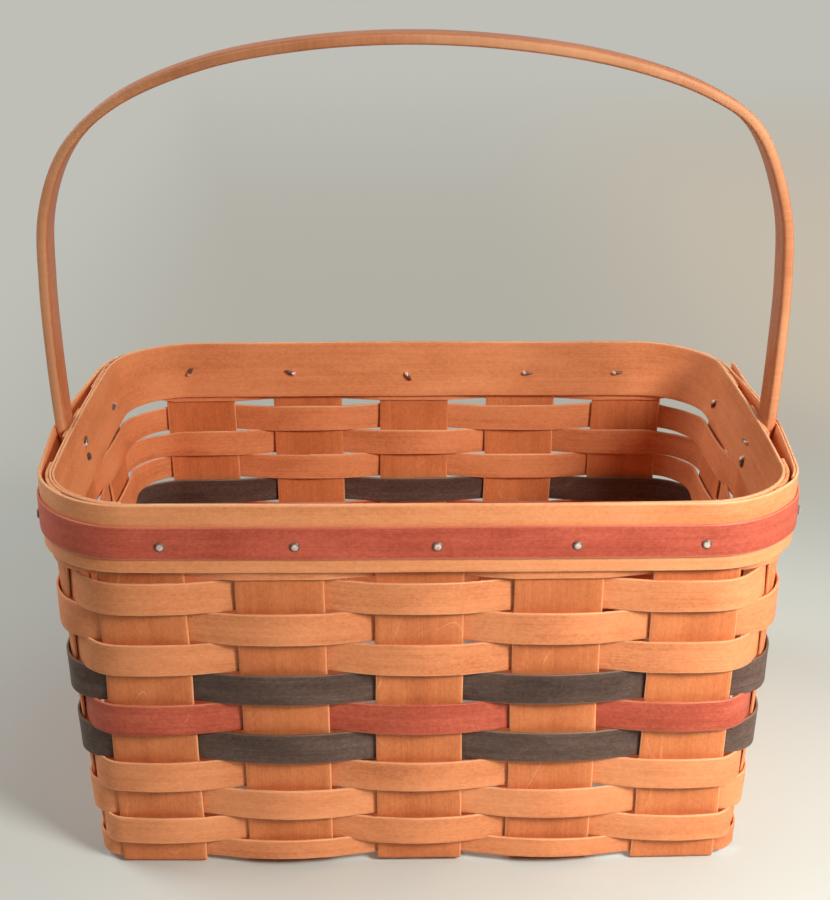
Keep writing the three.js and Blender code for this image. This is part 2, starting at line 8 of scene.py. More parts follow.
import bpy
import numpy as np
from mathutils import Matrix, Vector


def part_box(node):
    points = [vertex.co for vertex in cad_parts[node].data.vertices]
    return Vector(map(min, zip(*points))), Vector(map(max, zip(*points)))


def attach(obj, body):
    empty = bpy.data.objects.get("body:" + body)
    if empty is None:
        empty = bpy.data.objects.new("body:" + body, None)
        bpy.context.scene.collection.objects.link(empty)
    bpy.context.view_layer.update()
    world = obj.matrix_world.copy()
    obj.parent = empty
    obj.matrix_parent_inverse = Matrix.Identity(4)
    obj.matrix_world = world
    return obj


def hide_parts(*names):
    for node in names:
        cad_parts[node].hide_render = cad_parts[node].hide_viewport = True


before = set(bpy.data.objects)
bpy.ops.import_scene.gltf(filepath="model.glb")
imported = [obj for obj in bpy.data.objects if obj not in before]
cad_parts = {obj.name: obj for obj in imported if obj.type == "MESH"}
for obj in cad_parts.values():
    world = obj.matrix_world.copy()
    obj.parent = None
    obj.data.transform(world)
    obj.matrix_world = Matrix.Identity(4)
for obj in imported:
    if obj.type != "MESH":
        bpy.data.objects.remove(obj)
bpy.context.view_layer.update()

MM = 0.001

# Walls, measured over the outer faces of the stakes
BASE_LENGTH, RIM_LENGTH = 264, 298
BASE_DEPTH, RIM_DEPTH = 203, 200
BASE_CORNER_RADIUS, RIM_CORNER_RADIUS = 8, 38
END_BOW, LONG_WALL_BOW, BELLY = 3, 1.5, 1.5

# Stakes, numbered round the basket from the left of the front
LONG_COUNT, END_COUNT = 5, 3
STAKES = 2 * (LONG_COUNT + END_COUNT)
FRONT_MIDDLE = (LONG_COUNT - 1) / 2
LONG_PITCH, LONG_PITCH_RIM = 53.4, 54.9
END_PITCH, END_PITCH_RIM = 66, 63
END_MIDDLE_Y = -9
FIRST_RIGHT, FIRST_BACK, FIRST_LEFT = 5, 8, 13
HANDLE_STAKES = (6, 14)

# Stock: its thickness, how far its edges are rounded, the height and the scale of its waves, and
# its thickness where its ends lap
Stock = namedtuple("Stock", "thickness rounding waviness waves lapped", defaults=(34.0, None))
SPLINT = Stock(1.3, 0.9, 0.14, waves=26.0)
WEAVER = Stock(1.1, 0.5, 0.08, lapped=0.58)
BAND = Stock(1.55, 0.6, 0.07, lapped=1.05)
RED_STRIP = Stock(1.05, 0.6, 0.06, lapped=0.7)
BENTWOOD = Stock(4.5, 1.3, 0.1, waves=16.0)

# Laps: the play between the two ends, and the stakes' spacings over which they taper
LAP_PLAY = 0.12
LAP_TAPER, LAP_TIP, STACK_TAPER = 0.35, 0.02, 0.3

# Splints
SPLINT_WIDTH = 35
BEND_RADIUS = 1.3
FLOOR_LAYER, FLOOR_PLAY = 0.9, 0.1
SPLINT_SWAY, SWAY_PLACES = 0.25, 14

# Weavers: how far their middle lies off the stakes' middle, at a stake's edges and at its face
WEAVER_AT_EDGE = 1.7
LONG_WALL_BULGE, END_BULGE, TOP_BULGE = 3.9, 2.2, 1.55
BULGE_SPREAD = (0.92, 1.06)
WEAVER_LEAN, WEAVER_CUPPING = 0.3, 0.05
FRONT_ROW_NARROWING, BACK_ROW_NARROWING, END_ROW_WIDENING = 0.75, 0.35, 1.9
CROSSING_DROP, BACK_WALL_DROP, FACE_RISE = 1.1, 1.7, 0.85
ROW_DRIFT, EDGE_DRIFT = 0.1, 0.12

# The walls' back corners, where the top weaver rides up and the next rows are narrower
BACK_CORNERS = (7.58, 12.42)
CORNER_REACH = 0.26
CORNER_LIFT, CORNER_NARROWING = 2.4, 1.3
NARROWED_ROWS = (1, 2, 3)

# The long walls' lower edges stand off the table between the corners
EDGE_LIFT, BOTTOM_ROW_LIFT = 0.9, 1.8

# Bands and strip
BAND_LEAN, BAND_PLAY = 0.073, 0.15
BAND_SWELL_REACH, CORNER_SPACING = 76, 60
INNER_BAND_DROP, OUTER_BAND_DROP = 1.2, 2.0
INNER_BAND_EXTRA = 0.8
BAND_EDGE_DRIFT, STRIP_EDGE_DRIFT = 0.12, 0.1

# Handle: its middle line is bent through these places, given as x and the height above the rim
HANDLE_BENDS = (
    (155.5, 30), (155.7, 62), (152.6, 93), (138.2, 127), (118, 140.8), (85.6, 152), (45.2, 159.2),
    (0, 162.2), (-45.2, 159.8), (-85.6, 152.4), (-121.6, 137.6), (-142, 119.4), (-153.2, 93),
    (-155.7, 62), (-155.5, 30),
)
HANDLE_WIDTH, HANDLE_TIP_THICKNESS = 16.4, 2.4
WIDTH_DRIFT, HANDLE_SWAY = 0.18, 0.15

# Tacks: how far each one of a long wall sits off the middle of its stake
FRONT_TACK_DRIFT = (10, 7, 7, 6, 1)
BACK_TACK_DRIFT = (8, -1, 4, 6, 5)
HANDLE_TACK_SPREAD, TACKS_BELOW_STRIP_MIDDLE = 3.5, 1.2
TACK_HEAD_RADIUS, TACK_SHANK_RADIUS, TACK_POINT_RADIUS = 2.0, 0.7, 0.95
TACK_TILT = 0.07

# A tack's head from its neck up, as shares of its radius and heights, and its point's end, as
# lengths and shares of its radius
TACK_HEAD_RINGS = ((0.96, 0), (1, 0.12), (0.97, 0.3), (0.8, 0.56), (0.5, 0.76), (0.2, 0.85))
TACK_POINT_END = ((1.0, 0.95), (2.2, 0.8), (3.2, 0.5), (3.6, 0.12))

SEED = 11


def heights(name):
    """The lowest and highest level of a node."""
    low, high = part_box(name)
    return low[2] / MM, high[2] / MM


OUTER_BAND_BOTTOM, _ = heights("outer_rim_band")
_, HEIGHT = heights("inner_rim_band")
STRIP_BOTTOM, STRIP_TOP = heights("red_rim_strip")
_, SPLINT_TOP = heights("long_splint_1")
HANDLE_TIP, _ = heights("handle")
FLOOR_MIDDLE = FLOOR_LAYER + SPLINT.thickness / 2 + FLOOR_PLAY
TACK_LEVEL = (STRIP_BOTTOM + STRIP_TOP) / 2 - TACKS_BELOW_STRIP_MIDDLE


def mix(start, end, share):
    return start + (end - start) * share


def smooth(value, low, high):
    """0 below low, 1 above high, and a smooth rise between them."""
    share = np.clip((value - low) / (high - low), 0, 1)
    return share * share * (3 - 2 * share)


def travelled(line):
    """How far along a line each of its points lies."""
    steps = np.linalg.norm(np.diff(line, axis=0), axis=1)
    return np.concatenate(([0], np.cumsum(steps)))


def evened(line, count):
    """A flat line's two coordinates at that many places, spaced evenly along it."""
    distances = travelled(line)
    even = np.linspace(0, distances[-1], count)
    return [np.interp(even, distances, column) for column in line.T]


def soften(values, reach):
    """The values averaged over that many neighbours."""
    window = np.hanning(reach + 2)[1:-1]
    return np.convolve(np.pad(values, reach // 2, "edge"), window / window.sum(), "valid")


class Walls:
    """The stakes' outer faces. A place on them is a height and a station, which counts stakes
    round the basket: 2.5 lies half way between stakes 2 and 3."""

    LEVEL_STEP = 1.5
    STEPS_PER_STAKE = 96
    OUTLINE_STEPS = 2400
    ARC_STEPS = 24

    def __init__(self):
        self.levels = np.arange(0, HEIGHT + 2 * self.LEVEL_STEP, self.LEVEL_STEP)
        stations = np.arange(STAKES * self.STEPS_PER_STAKE) / self.STEPS_PER_STAKE
        points, normals, spacing = [], [], []
        for level in self.levels:
            up = min(level / HEIGHT, 1)
            loop, outward, distances = self.outline(up)
            length = distances[-1]
            centres = self.stake_centres(up, length)
            s = np.interp(stations, np.arange(STAKES + 1), centres) % length
            for table, values in ((points, loop), (normals, outward)):
                table.append(np.column_stack([np.interp(s, distances, v) for v in values.T]))
            spacing.append(np.diff(centres))
        self.points, self.normals, self.spacing = map(np.array, (points, normals, spacing))

    def outline(self, up):
        """The wall's line that share of the way up, its outward directions and distances."""
        belly = BELLY * math.sin(math.pi * up)
        a = mix(BASE_LENGTH, RIM_LENGTH, up) / 2 + belly
        b = mix(BASE_DEPTH, RIM_DEPTH, up) / 2 + belly / 2
        r = mix(BASE_CORNER_RADIUS, RIM_CORNER_RADIUS, up)
        corners = ((a - r, r - b, -90), (a - r, b - r, 0), (r - a, b - r, 90), (r - a, r - b, 180))
        middle = [(0, -b)]
        parts = [middle]
        for x, y, start in corners:
            turn = np.radians(start + np.linspace(0, 90, self.ARC_STEPS + 1))
            parts.append(np.column_stack((x + r * np.cos(turn), y + r * np.sin(turn))))
        x, y = evened(np.vstack((*parts, middle)), self.OUTLINE_STEPS + 1)
        loop = np.column_stack((
            x + END_BOW * up * (1 - (y / b) ** 2) * (x / a),
            y + LONG_WALL_BOW * (1 - (x / a) ** 2) * (y / b),
        ))
        tangent = np.roll(loop[:-1], -1, axis=0) - np.roll(loop[:-1], 1, axis=0)
        tangent = np.vstack((tangent, tangent[:1]))
        tangent /= np.linalg.norm(tangent, axis=1)[:, None]
        return loop, np.column_stack((tangent[:, 1], -tangent[:, 0])), travelled(loop)

    def stake_centres(self, up, length):
        def spread(count, pitch, rim_pitch):
            return (np.arange(count) - (count - 1) / 2) * mix(pitch, rim_pitch, up)

        along = spread(LONG_COUNT, LONG_PITCH, LONG_PITCH_RIM)
        up_end = spread(END_COUNT, END_PITCH, END_PITCH_RIM)
        return np.concatenate((
            along,
            length / 4 + END_MIDDLE_Y + up_end,
            length / 2 + along,
            3 * length / 4 - END_MIDDLE_Y + up_end,
            along[:1] + length,
        ))

    def place(self, station, z, out):
        """The point out millimetres outside the stakes' outer face."""
        station, z, out = np.broadcast_arrays(station, z, out)
        row = np.clip(z / self.LEVEL_STEP, 0, len(self.levels) - 1.001)
        low = row.astype(int)
        lift = (row - low)[..., None]
        steps = STAKES * self.STEPS_PER_STAKE
        column = (station * self.STEPS_PER_STAKE) % steps
        left = column.astype(int) % steps
        right = (left + 1) % steps
        share = (column - np.floor(column))[..., None]

        def at(table):
            below, above = (mix(table[i, left], table[i, right], share) for i in (low, low + 1))
            return mix(below, above, lift)

        normal = at(self.normals)
        normal /= np.linalg.norm(normal, axis=-1)[..., None]
        flat = at(self.points) + normal * out[..., None]
        return np.concatenate((flat, z[..., None]), axis=-1)

    def gap_to_next(self, stake, z):
        return np.interp(z, self.levels, self.spacing[:, stake % STAKES])

    def gap_beside(self, stake, offset, z):
        """The spacing on the side of a stake that the offset points to."""
        return np.where(offset > 0, self.gap_to_next(stake, z), self.gap_to_next(stake - 1, z))

    def station(self, stake, offset, z):
        """The station that lies offset millimetres on from the middle of a stake."""
        return stake + offset / self.gap_beside(stake, offset, z)


walls = Walls()


class Nodes:
    """Adds nodes to one tree: their settings first, then the values or links of their inputs."""

    def __init__(self, tree):
        self.tree = tree

    def add(self, kind, settings=None, inputs=None):
        node = self.tree.nodes.new(kind)
        for key, value in (settings or {}).items():
            setattr(node, key, value)
        for key, value in (inputs or {}).items():
            self.feed(node.inputs[key], value)
        return node

    def value(self, kind, settings=None, inputs=None, output=0):
        return Value(self, self.add(kind, settings, inputs).outputs[output])

    def feed(self, socket, value):
        if isinstance(value, Value):
            value = value.socket
        if isinstance(value, bpy.types.NodeSocket):
            self.tree.links.new(value, socket)
        else:
            socket.default_value = value

    def scaled(self, vector, size):
        inputs = {0: vector, "Scale": size}
        return self.add("ShaderNodeVectorMath", {"operation": "SCALE"}, inputs).outputs[0]

    def stored(self, name, kind="FLOAT"):
        """What each point of a piece has stored under that name."""
        inputs = {"Name": name}
        return self.value("GeometryNodeInputNamedAttribute", {"data_type": kind}, inputs)


class Value:
    """A number's socket that takes part in Python sums: each sum adds its Math node."""

    def __init__(self, nodes, socket):
        self.nodes = nodes
        self.socket = socket

    def math(self, operation, *others):
        inputs = dict(enumerate((self, *others)))
        return self.nodes.value("ShaderNodeMath", {"operation": operation}, inputs)

    def __add__(self, other):
        return self.math("ADD", other)

    __radd__ = __add__

    def __sub__(self, other):
        return self.math("SUBTRACT", other)

    def __rsub__(self, other):
        return self.math("MULTIPLY_ADD", -1.0, other)

    def __mul__(self, other):
        return self.math("MULTIPLY", other)

    __rmul__ = __mul__

    def step(self, low, high, start=0.0, end=1.0):
        """start below low, end above high, and a smooth rise between them."""
        settings = {"interpolation_type": "SMOOTHSTEP"}
        inputs = {"Value": self, "From Min": low, "From Max": high, "To Min": start, "To Max": end}
        return self.nodes.value("ShaderNodeMapRange", settings, inputs)


def colour(*levels):
    """A colour given as it shows on a screen, 0 to 255, as the renderer's linear values."""
    def linear(share):
        return share / 12.92 if share <= 0.04045 else ((share + 0.055) / 1.055) ** 2.4
    return (*(linear(level / 255) for level in levels), 1.0)


# Finishes
class Finish(Nodes):
    """One material, from an empty tree."""

    def __init__(self, name):
        self.material = bpy.data.materials.new(name)
        self.material.use_nodes = True
        super().__init__(self.material.node_tree)
        self.tree.nodes.clear()

    def blend(self, factor, first, second):
        inputs = {0: factor, 6: first, 7: second}
        return self.add("ShaderNodeMix", {"data_type": "RGBA"}, inputs).outputs[2]

    def ramp(self, factor, *stops):
        node = self.add("ShaderNodeValToRGB", {}, {"Fac": factor})
        elements = node.color_ramp.elements
        while len(elements) < len(stops):
            elements.new(1.0)
        for element, (position, shade) in zip(elements, stops):
            element.position = position
            element.color = shade
        return node.outputs[0]

    def noise(self, place, scale=1.0, detail=2.0, roughness=0.5, distortion=0.0):
        return self.value("ShaderNodeTexNoise", {}, {
            "Vector": place, "Scale": scale, "Detail": detail, "Roughness": roughness,
            "Distortion": distortion,
        })

    def grain_noise(self, grain, along, across, layer, *quality):
        """Noise that runs along a strip, with its counts per metre along and across it."""
        inputs = {0: grain, 1: (along, across, 1.0), 2: (0.0, 0.0, layer)}
        place = self.add("ShaderNodeVectorMath", {"operation": "MULTIPLY_ADD"}, inputs).outputs[0]
        return self.noise(place, 1.0, *quality)

    def attribute(self, name):
        return self.value("ShaderNodeAttribute", {"attribute_name": name}, output="Fac")

    def bump(self, height, strength, distance):
        return self.add("ShaderNodeBump", {}, {
            "Height": height, "Strength": strength, "Distance": distance,
        }).outputs[0]

    def shader(self, inputs):
        return self.add("ShaderNodeBsdfPrincipled", {}, inputs)

    def end_in(self, shader):
        self.add("ShaderNodeOutputMaterial", {}, {"Surface": shader.outputs[0]})
        return self.material


# The wood's noises: counts per metre along and across a strip, layer, detail, roughness, bend
GRAIN_NOISES = {
    "fibres": (14, 2600, 0.5, 3, 0.6),
    "streaks": (9, 360, 7.5, 3, 0.55),
    "clouds": (22, 60, 21.5, 4, 0.6),
    "specks": (620, 900, 27.5, 4, 0.7),
    "pores": (130, 2400, 31.5, 1, 0.5),
    "piece tone": (0.37, 0.0, 43.5, 0, 0.5),
}
SCRATCH_NOISE = (20, 48, 57.5, 0, 0.5, 0.6)
GRAIN_CONTRAST, CLOUD_CONTRAST, PIECE_CONTRAST = 2.6, 0.7, 0.5
# The pale edge's strength stands partly for worn stain and partly for a painted highlight
PORE_DEPTH, EDGE_WEAR_AND_HIGHLIGHT, SHINE = 0.1, 0.65, 0.28
RELIEF_STRENGTH, RELIEF_DEPTH = 0.3, 0.0006

# The levels between which pores and scratches show and edges wear and take a painted highlight
PORES_FROM, WORN_AND_LIT_EDGE, WEAR_AND_HIGHLIGHT_FROM = (0.66, 0.78), (0.1, 0.8), (0.25, 0.60)
SCRATCH_LINE, SCRATCHED_CLOUDS, SCRATCHED_SPECKS = (0.0015, 0.005), (0.47, 0.62), (0.30, 0.52)


def wood_finish(name, light, middle, dark, edge, contrast=1.0, roughness=0.55, scratches=0.0):
    """Stained or dyed splint: fine fibres, soft streaks and a cloudy stain along the strip, with
    a paler cut edge that is partly worn stain and partly a painted highlight, and, on some
    pieces, fine curved scratches."""
    light, middle, dark, edge = (colour(*shade) for shade in (light, middle, dark, edge))
    pore_colour = tuple(c * 0.45 for c in dark[:3]) + (1.0,)
    wood = Finish(name)
    grain = wood.add("ShaderNodeUVMap", {"uv_map": "grain"}).outputs[0]
    fibres, streaks, clouds, specks, pores, piece_tone = (
        wood.grain_noise(grain, *noise) for noise in GRAIN_NOISES.values())
    border = wood.attribute("border")

    mottle = fibres * 0.22 + streaks * 0.17 + specks * 0.41 + clouds * 0.20 - 0.5
    tone = mottle * (GRAIN_CONTRAST * contrast) + (clouds - 0.5) * (CLOUD_CONTRAST * contrast)
    tone += (piece_tone - 0.5) * (PIECE_CONTRAST * contrast) + 0.5
    stain = wood.ramp(tone, (0.05, dark), (0.50, middle), (0.95, light))
    pore_mask = pores.step(*PORES_FROM) * PORE_DEPTH
    finished = wood.blend(pore_mask, stain, pore_colour)
    # Pale cut edges: partly worn stain, partly a painted highlight where the edges catch the light
    worn_and_lit_edge = (1.0 - border.step(*WORN_AND_LIT_EDGE)) * streaks.step(*WEAR_AND_HIGHLIGHT_FROM) * EDGE_WEAR_AND_HIGHLIGHT
    finished = wood.blend(worn_and_lit_edge, finished, edge)
    if scratches:
        wavy = wood.grain_noise(grain, *SCRATCH_NOISE)
        line = (wavy - 0.5).math("ABSOLUTE").step(*SCRATCH_LINE, 1.0, 0.0)
        bare = line * clouds.step(*SCRATCHED_CLOUDS) * specks.step(*SCRATCHED_SPECKS) * scratches
        finished = wood.blend(bare, finished, edge)

    relief = fibres * 0.35 + streaks * 0.35 + specks * 0.3 - pore_mask * 0.4
    return wood.end_in(wood.shader({
        "Base Color": finished,
        "Roughness": (fibres - 0.5) * 0.25 + (clouds - 0.5) * 0.3 + roughness,
        "Specular IOR Level": SHINE,
        "Normal": wood.bump(relief, RELIEF_STRENGTH, RELIEF_DEPTH),
    }))


def tack_finish():
    """Dull plated steel with darker, rougher patches, a ring of painted shade round the head's
    edge, and the same dark on the turned points.
    """
    metal = Finish("dull tack steel")
    place = metal.add("ShaderNodeTexCoord").outputs["Object"]
    patches = metal.noise(place, scale=900.0, detail=3)
    scuffs = metal.noise(place, scale=2600.0)
    steel = metal.ramp(
        patches, (0.30, colour(186, 152, 140)), (0.52, colour(236, 210, 198)),
        (0.75, colour(250, 236, 226)))
    # Painted shade: the head's outer edge darkens to a dark ring, and the turned points, which lie
    # far off the axis, take the same dark
    ring = metal.attribute("rim").step(0.45, 0.80) * 0.85
    return metal.end_in(metal.shader({
        "Base Color": metal.blend(ring, steel, colour(74, 48, 38)),
        "Roughness": (patches - 0.5) * 0.5 + 0.36,
        "Metallic": 0.3,
        "Normal": metal.bump(scuffs, 0.3, 0.0001),
    }))


natural = wood_finish(
    "honey stained splint", (244, 162, 110), (230, 144, 94), (200, 114, 68), (246, 188, 142))
natural_stake = wood_finish(
    "amber stained splint", (234, 147, 93), (216, 127, 76), (188, 100, 56), (246, 184, 134),
    contrast=0.75, scratches=0.5)
charcoal = wood_finish(
    "charcoal dyed splint", (120, 97, 87), (90, 70, 61), (60, 44, 38), (160, 124, 100),
    roughness=0.52, scratches=0.3)
brick = wood_finish(
    "brick red dyed splint", (212, 110, 84), (188, 85, 61), (150, 59, 41), (222, 140, 108),
    roughness=0.52, scratches=0.35)
band_wood = wood_finish(
    "honey stained rim band", (246, 168, 116), (232, 150, 99), (204, 121, 74), (250, 200, 152),
    contrast=0.9, roughness=0.45)
strip_wood = wood_finish(
    "brick red dyed rim strip", (222, 118, 94), (204, 98, 75), (170, 72, 52), (226, 150, 120),
    contrast=0.9, roughness=0.5)
handle_wood = wood_finish(
    "honey stained bentwood", (228, 152, 104), (205, 126, 83), (173, 99, 60), (236, 178, 132),
    roughness=0.42, scratches=0.3)
tack_steel = tack_finish()


# Strip stock: a flat ribbon gets its thickness, rounded edges and slight waves
def tree_with(name, inputs):
    """A new geometry tree, and its inputs by their names."""
    tree = bpy.data.node_groups.new(name, "GeometryNodeTree")
    shape = {"Geometry": "Geometry"}
    for side, sockets in (("INPUT", shape | inputs), ("OUTPUT", shape)):
        for label, kind in sockets.items():
            tree.interface.new_socket(name=label, in_out=side, socket_type=f"NodeSocket{kind}")
    nodes = Nodes(tree)
    source = nodes.add("NodeGroupInput")
    return nodes, {socket.name: Value(nodes, socket) for socket in source.outputs if socket.name}


def close_tree(nodes, geometry, material):
    """Ends a tree with real geometry and its material."""
    real = nodes.add("GeometryNodeRealizeInstances", {}, {"Geometry": geometry})
    dressed = nodes.add("GeometryNodeSetMaterial", {}, {
        "Geometry": real.outputs[0], "Material": material,
    })
    nodes.add("NodeGroupOutput", {}, {0: dressed.outputs[0]})
    return nodes.tree


CREASE_ANGLE = 0.75
MERGE_REACH = 1e-6


def stock_tree():
    nodes, given = tree_with("strip stock", {
        "Thickness": "Float", "Waviness": "Float", "Wave Scale": "Float", "Seed": "Float",
        "Crease Angle": "Float", "Material": "Material",
    })

    def moved(geometry, offset):
        return nodes.add("GeometryNodeSetPosition", {}, {
            "Geometry": geometry, "Offset": offset,
        }).outputs[0]

    def shaded(geometry, domain, inputs):
        return nodes.add("GeometryNodeSetShadeSmooth", {"domain": domain}, {
            "Geometry": geometry, **inputs,
        }).outputs[0]

    normal = nodes.add("GeometryNodeInputNormal").outputs[0]
    wave = nodes.value("ShaderNodeTexNoise", {"noise_dimensions": "4D"}, {
        "W": given["Seed"], "Scale": given["Wave Scale"], "Detail": 1.0,
    })
    lift = (wave - 0.5) * 2 * given["Waviness"]
    waved = moved(given["Geometry"], nodes.scaled(normal, lift))
    marked = nodes.add("GeometryNodeStoreNamedAttribute", {
        "data_type": "FLOAT_VECTOR", "domain": "POINT",
    }, {"Geometry": waved, "Name": "facing", "Value": normal}).outputs[0]
    raised = nodes.add("GeometryNodeExtrudeMesh", {"mode": "FACES"}, {
        "Mesh": marked, "Offset Scale": 0.0, "Individual": False,
    })
    back = nodes.add("GeometryNodeFlipFaces", {}, {"Mesh": marked}).outputs[0]
    both = nodes.add("GeometryNodeJoinGeometry")
    for part in (raised.outputs["Mesh"], back):
        nodes.feed(both.inputs[0], part)
    half = nodes.stored("profile") * given["Thickness"] * 0.5
    depth = nodes.value("GeometryNodeSwitch", {"input_type": "FLOAT"}, {
        "Switch": raised.outputs["Top"], "False": half * -1.0, "True": half,
    })
    facing = nodes.stored("facing", "FLOAT_VECTOR")
    closed = nodes.add("GeometryNodeMergeByDistance", {}, {
        "Geometry": moved(both.outputs[0], nodes.scaled(facing, depth)), "Distance": MERGE_REACH,
    }).outputs[0]
    rounded = shaded(closed, "FACE", {"Shade Smooth": True})
    angle = nodes.value("GeometryNodeInputMeshEdgeAngle")
    sharp = angle.math("GREATER_THAN", given["Crease Angle"])
    creased = shaded(rounded, "EDGE", {"Selection": sharp, "Shade Smooth": False})
    return close_tree(nodes, creased, given["Material"])


STOCK_TREE = stock_tree()


def apply_tree(piece, tree, settings):
    """Runs a tree on a piece with those inputs, and keeps what it makes."""
    modifier = piece.modifiers.new("make", "NODES")
    modifier.node_group = tree
    for socket in tree.interface.items_tree:
        if socket.in_out == "INPUT" and socket.name in settings:
            modifier[socket.identifier] = settings[socket.name]
    bpy.context.view_layer.update()
    evaluated = piece.evaluated_get(bpy.context.evaluated_depsgraph_get())
    made = bpy.data.meshes.new_from_object(evaluated)
    made.name = piece.name
    piece.modifiers.remove(modifier)
    rough, piece.data = piece.data, made
    bpy.data.meshes.remove(rough)
    return piece


def new_object(name, mesh):
    piece = bpy.data.objects.new(name, mesh)
    bpy.context.scene.collection.objects.link(piece)
    return piece


def store(mesh, name, values, kind="FLOAT"):
    """Gives each point of a mesh its own number, or its vector."""
    attribute = mesh.attributes.new(name, kind, "POINT")
    field = "vector" if kind == "FLOAT_VECTOR" else "value"
    attribute.data.foreach_set(field, np.array(values, np.float32).ravel())


def ribbon(name, points, grain):
    """A flat ribbon through rows of points, with its map of the grain in metres."""
    shape = points.shape[:2]
    index = np.arange(math.prod(shape)).reshape(shape)
    quads = np.stack((index[:-1, :-1], index[1:, :-1], index[1:, 1:], index[:-1, 1:]), -1)
    quads = quads.reshape(-1, 4)
    mesh = bpy.data.meshes.new(name)
    mesh.from_pydata((points.reshape(-1, 3) * MM).tolist(), [], quads.tolist())
    layer = mesh.uv_layers.new(name="grain")
    layer.data.foreach_set("uv", grain.reshape(-1, 2)[quads.ravel()].astype(np.float32).ravel())
    return new_object(name, mesh)


# Places across a strip, -1 to 1, closer at its rounded edges
ACROSS = np.array((-1, -0.985, -0.955, -0.88, -0.6, -0.3, 0, 0.3, 0.6, 0.88, 0.955, 0.985, 1))

# How far on each strip's grain starts from the one before, along and across it, in metres
GRAIN_SHIFT = (2.0, 0.31)
strip_numbers = itertools.count(1)


def strip(name, points, width, stock, material, kept=1.0):
    """A solid strip through rows of points, each with one for every ACROSS, which keep that
    share of the stock's thickness."""
    number = next(strip_numbers)
    along = travelled(points[:, len(ACROSS) // 2])[:, None]
    to_edge = (1 - np.abs(ACROSS)) * width / 2
    rounded = 1 - 0.5 * (1 - np.clip(to_edge / stock.rounding, 0, 1)) ** 2
    grain_along = along * MM + GRAIN_SHIFT[0] * number
    grain_across = ACROSS * width / 2 * MM + GRAIN_SHIFT[1] * number
    piece = ribbon(
        name, points, np.stack(np.broadcast_arrays(grain_along, grain_across), -1))
    store(piece.data, "profile", np.broadcast_to(kept, len(points))[:, None] * rounded)
    store(piece.data, "border", np.minimum(np.minimum(along, along[-1] - along), to_edge))
    return apply_tree(piece, STOCK_TREE, {
        "Thickness": stock.thickness * MM, "Waviness": stock.waviness * MM,
        "Wave Scale": stock.waves, "Seed": float(number), "Crease Angle": CREASE_ANGLE,
        "Material": material,
    })


def place_piece(piece, slot, *nodes):
    """The piece stands for those nodes, which are hidden, and joins the root body. slot is not
    used.
    """
    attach(piece, "root")
    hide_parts(*nodes)


def wander(random, stations, amount, waves=(3, 5, 8, 13)):
    """A slow drift that repeats after one turn round the basket."""
    total = np.zeros_like(stations)
    for count in waves:
        phase = random.uniform(0, 2 * math.pi)
        total += random.uniform(0.4, 1.0) * np.sin(2 * math.pi * count * stations / STAKES + phase)
    return amount * total / math.sqrt(len(waves))


# Stakes and bottom: each splint runs down one wall, across the bottom and up the other wall
WALL_ROWS, BEND_ROWS, FLOOR_ROWS = 70, 8, 90


def over_under(position, reach):
    swing = 2 * np.cos(math.pi * np.clip(position, -reach, reach))
    return np.sin(math.pi / 2 * np.clip(swing, -1, 1))


def long_level(k, y):
    """The height of a long splint's middle, k splints right of the middle one."""
    over = over_under((y - END_MIDDLE_Y) / END_PITCH, 1)
    lift = EDGE_LIFT * (1 - (2 * k / (LONG_COUNT - 1)) ** 2) * (2 * y / BASE_DEPTH) ** 4
    return FLOOR_MIDDLE + FLOOR_LAYER * over * (-1) ** k + lift


def cross_level(j, x):
    """The height of a cross splint's middle, j splints behind the middle one."""
    over = over_under(x / LONG_PITCH, 2)
    return FLOOR_MIDDLE - FLOOR_LAYER * over * (-1) ** j


def wall_rows(stake, level, direction, random):
    """The middle of a splint from the top of a wall to the end of its bend into the bottom."""
    bend_top = level + SPLINT.thickness / 2 + BEND_RADIUS
    z = np.linspace(SPLINT_TOP, bend_top, WALL_ROWS)[:, None]
    offset = ACROSS * SPLINT_WIDTH / 2 * direction
    sway = random.uniform(-SPLINT_SWAY, SPLINT_SWAY, SWAY_PLACES)
    sway = np.interp(z, np.linspace(0, HEIGHT, SWAY_PLACES), sway)
    station = walls.station(stake, offset + sway, z)
    upright = walls.place(station, z, -SPLINT.thickness / 2)
    radius = BEND_RADIUS + SPLINT.thickness / 2
    turn = np.linspace(0, math.pi / 2, BEND_ROWS + 1)[1:, None]
    inward = radius * np.cos(turn) - BEND_RADIUS - SPLINT.thickness
    bend = walls.place(station[-1:], bend_top, inward)
    bend[..., 2] = bend_top - radius * np.sin(turn)
    return np.concatenate((upright, bend))


def splint(name, ends, level, span, axis, random):
    """A splint between two walls' stakes. level turns a place along the bottom, which is that
    long along that axis, to a height."""
    down, up = (
        wall_rows(stake, level(side * span / 2), -side, random)
        for stake, side in zip(ends, (-1, 1)))
    share = np.linspace(0, 1, FLOOR_ROWS + 2)[1:-1, None, None]
    floor = mix(down[-1], up[-1], share)
    floor[..., 2] = level(floor[..., axis])
    points = np.concatenate((down, floor, up[::-1]))
    place_piece(strip(name, points, SPLINT_WIDTH, SPLINT, natural_stake), "natural_splint", name)


for i in range(LONG_COUNT):
    ends = (i, FIRST_BACK + LONG_COUNT - 1 - i)
    level = partial(long_level, i - LONG_COUNT // 2)
    random = np.random.default_rng((SEED, 1, i))
    splint(f"long_splint_{i + 1}", ends, level, BASE_DEPTH, 1, random)
for i in range(END_COUNT):
    ends = (FIRST_LEFT + END_COUNT - 1 - i, FIRST_RIGHT + i)
    level = partial(cross_level, i - END_COUNT // 2)
    random = np.random.default_rng((SEED, 2, i))
    splint(f"cross_splint_{i + 1}", ends, level, BASE_LENGTH, 0, random)

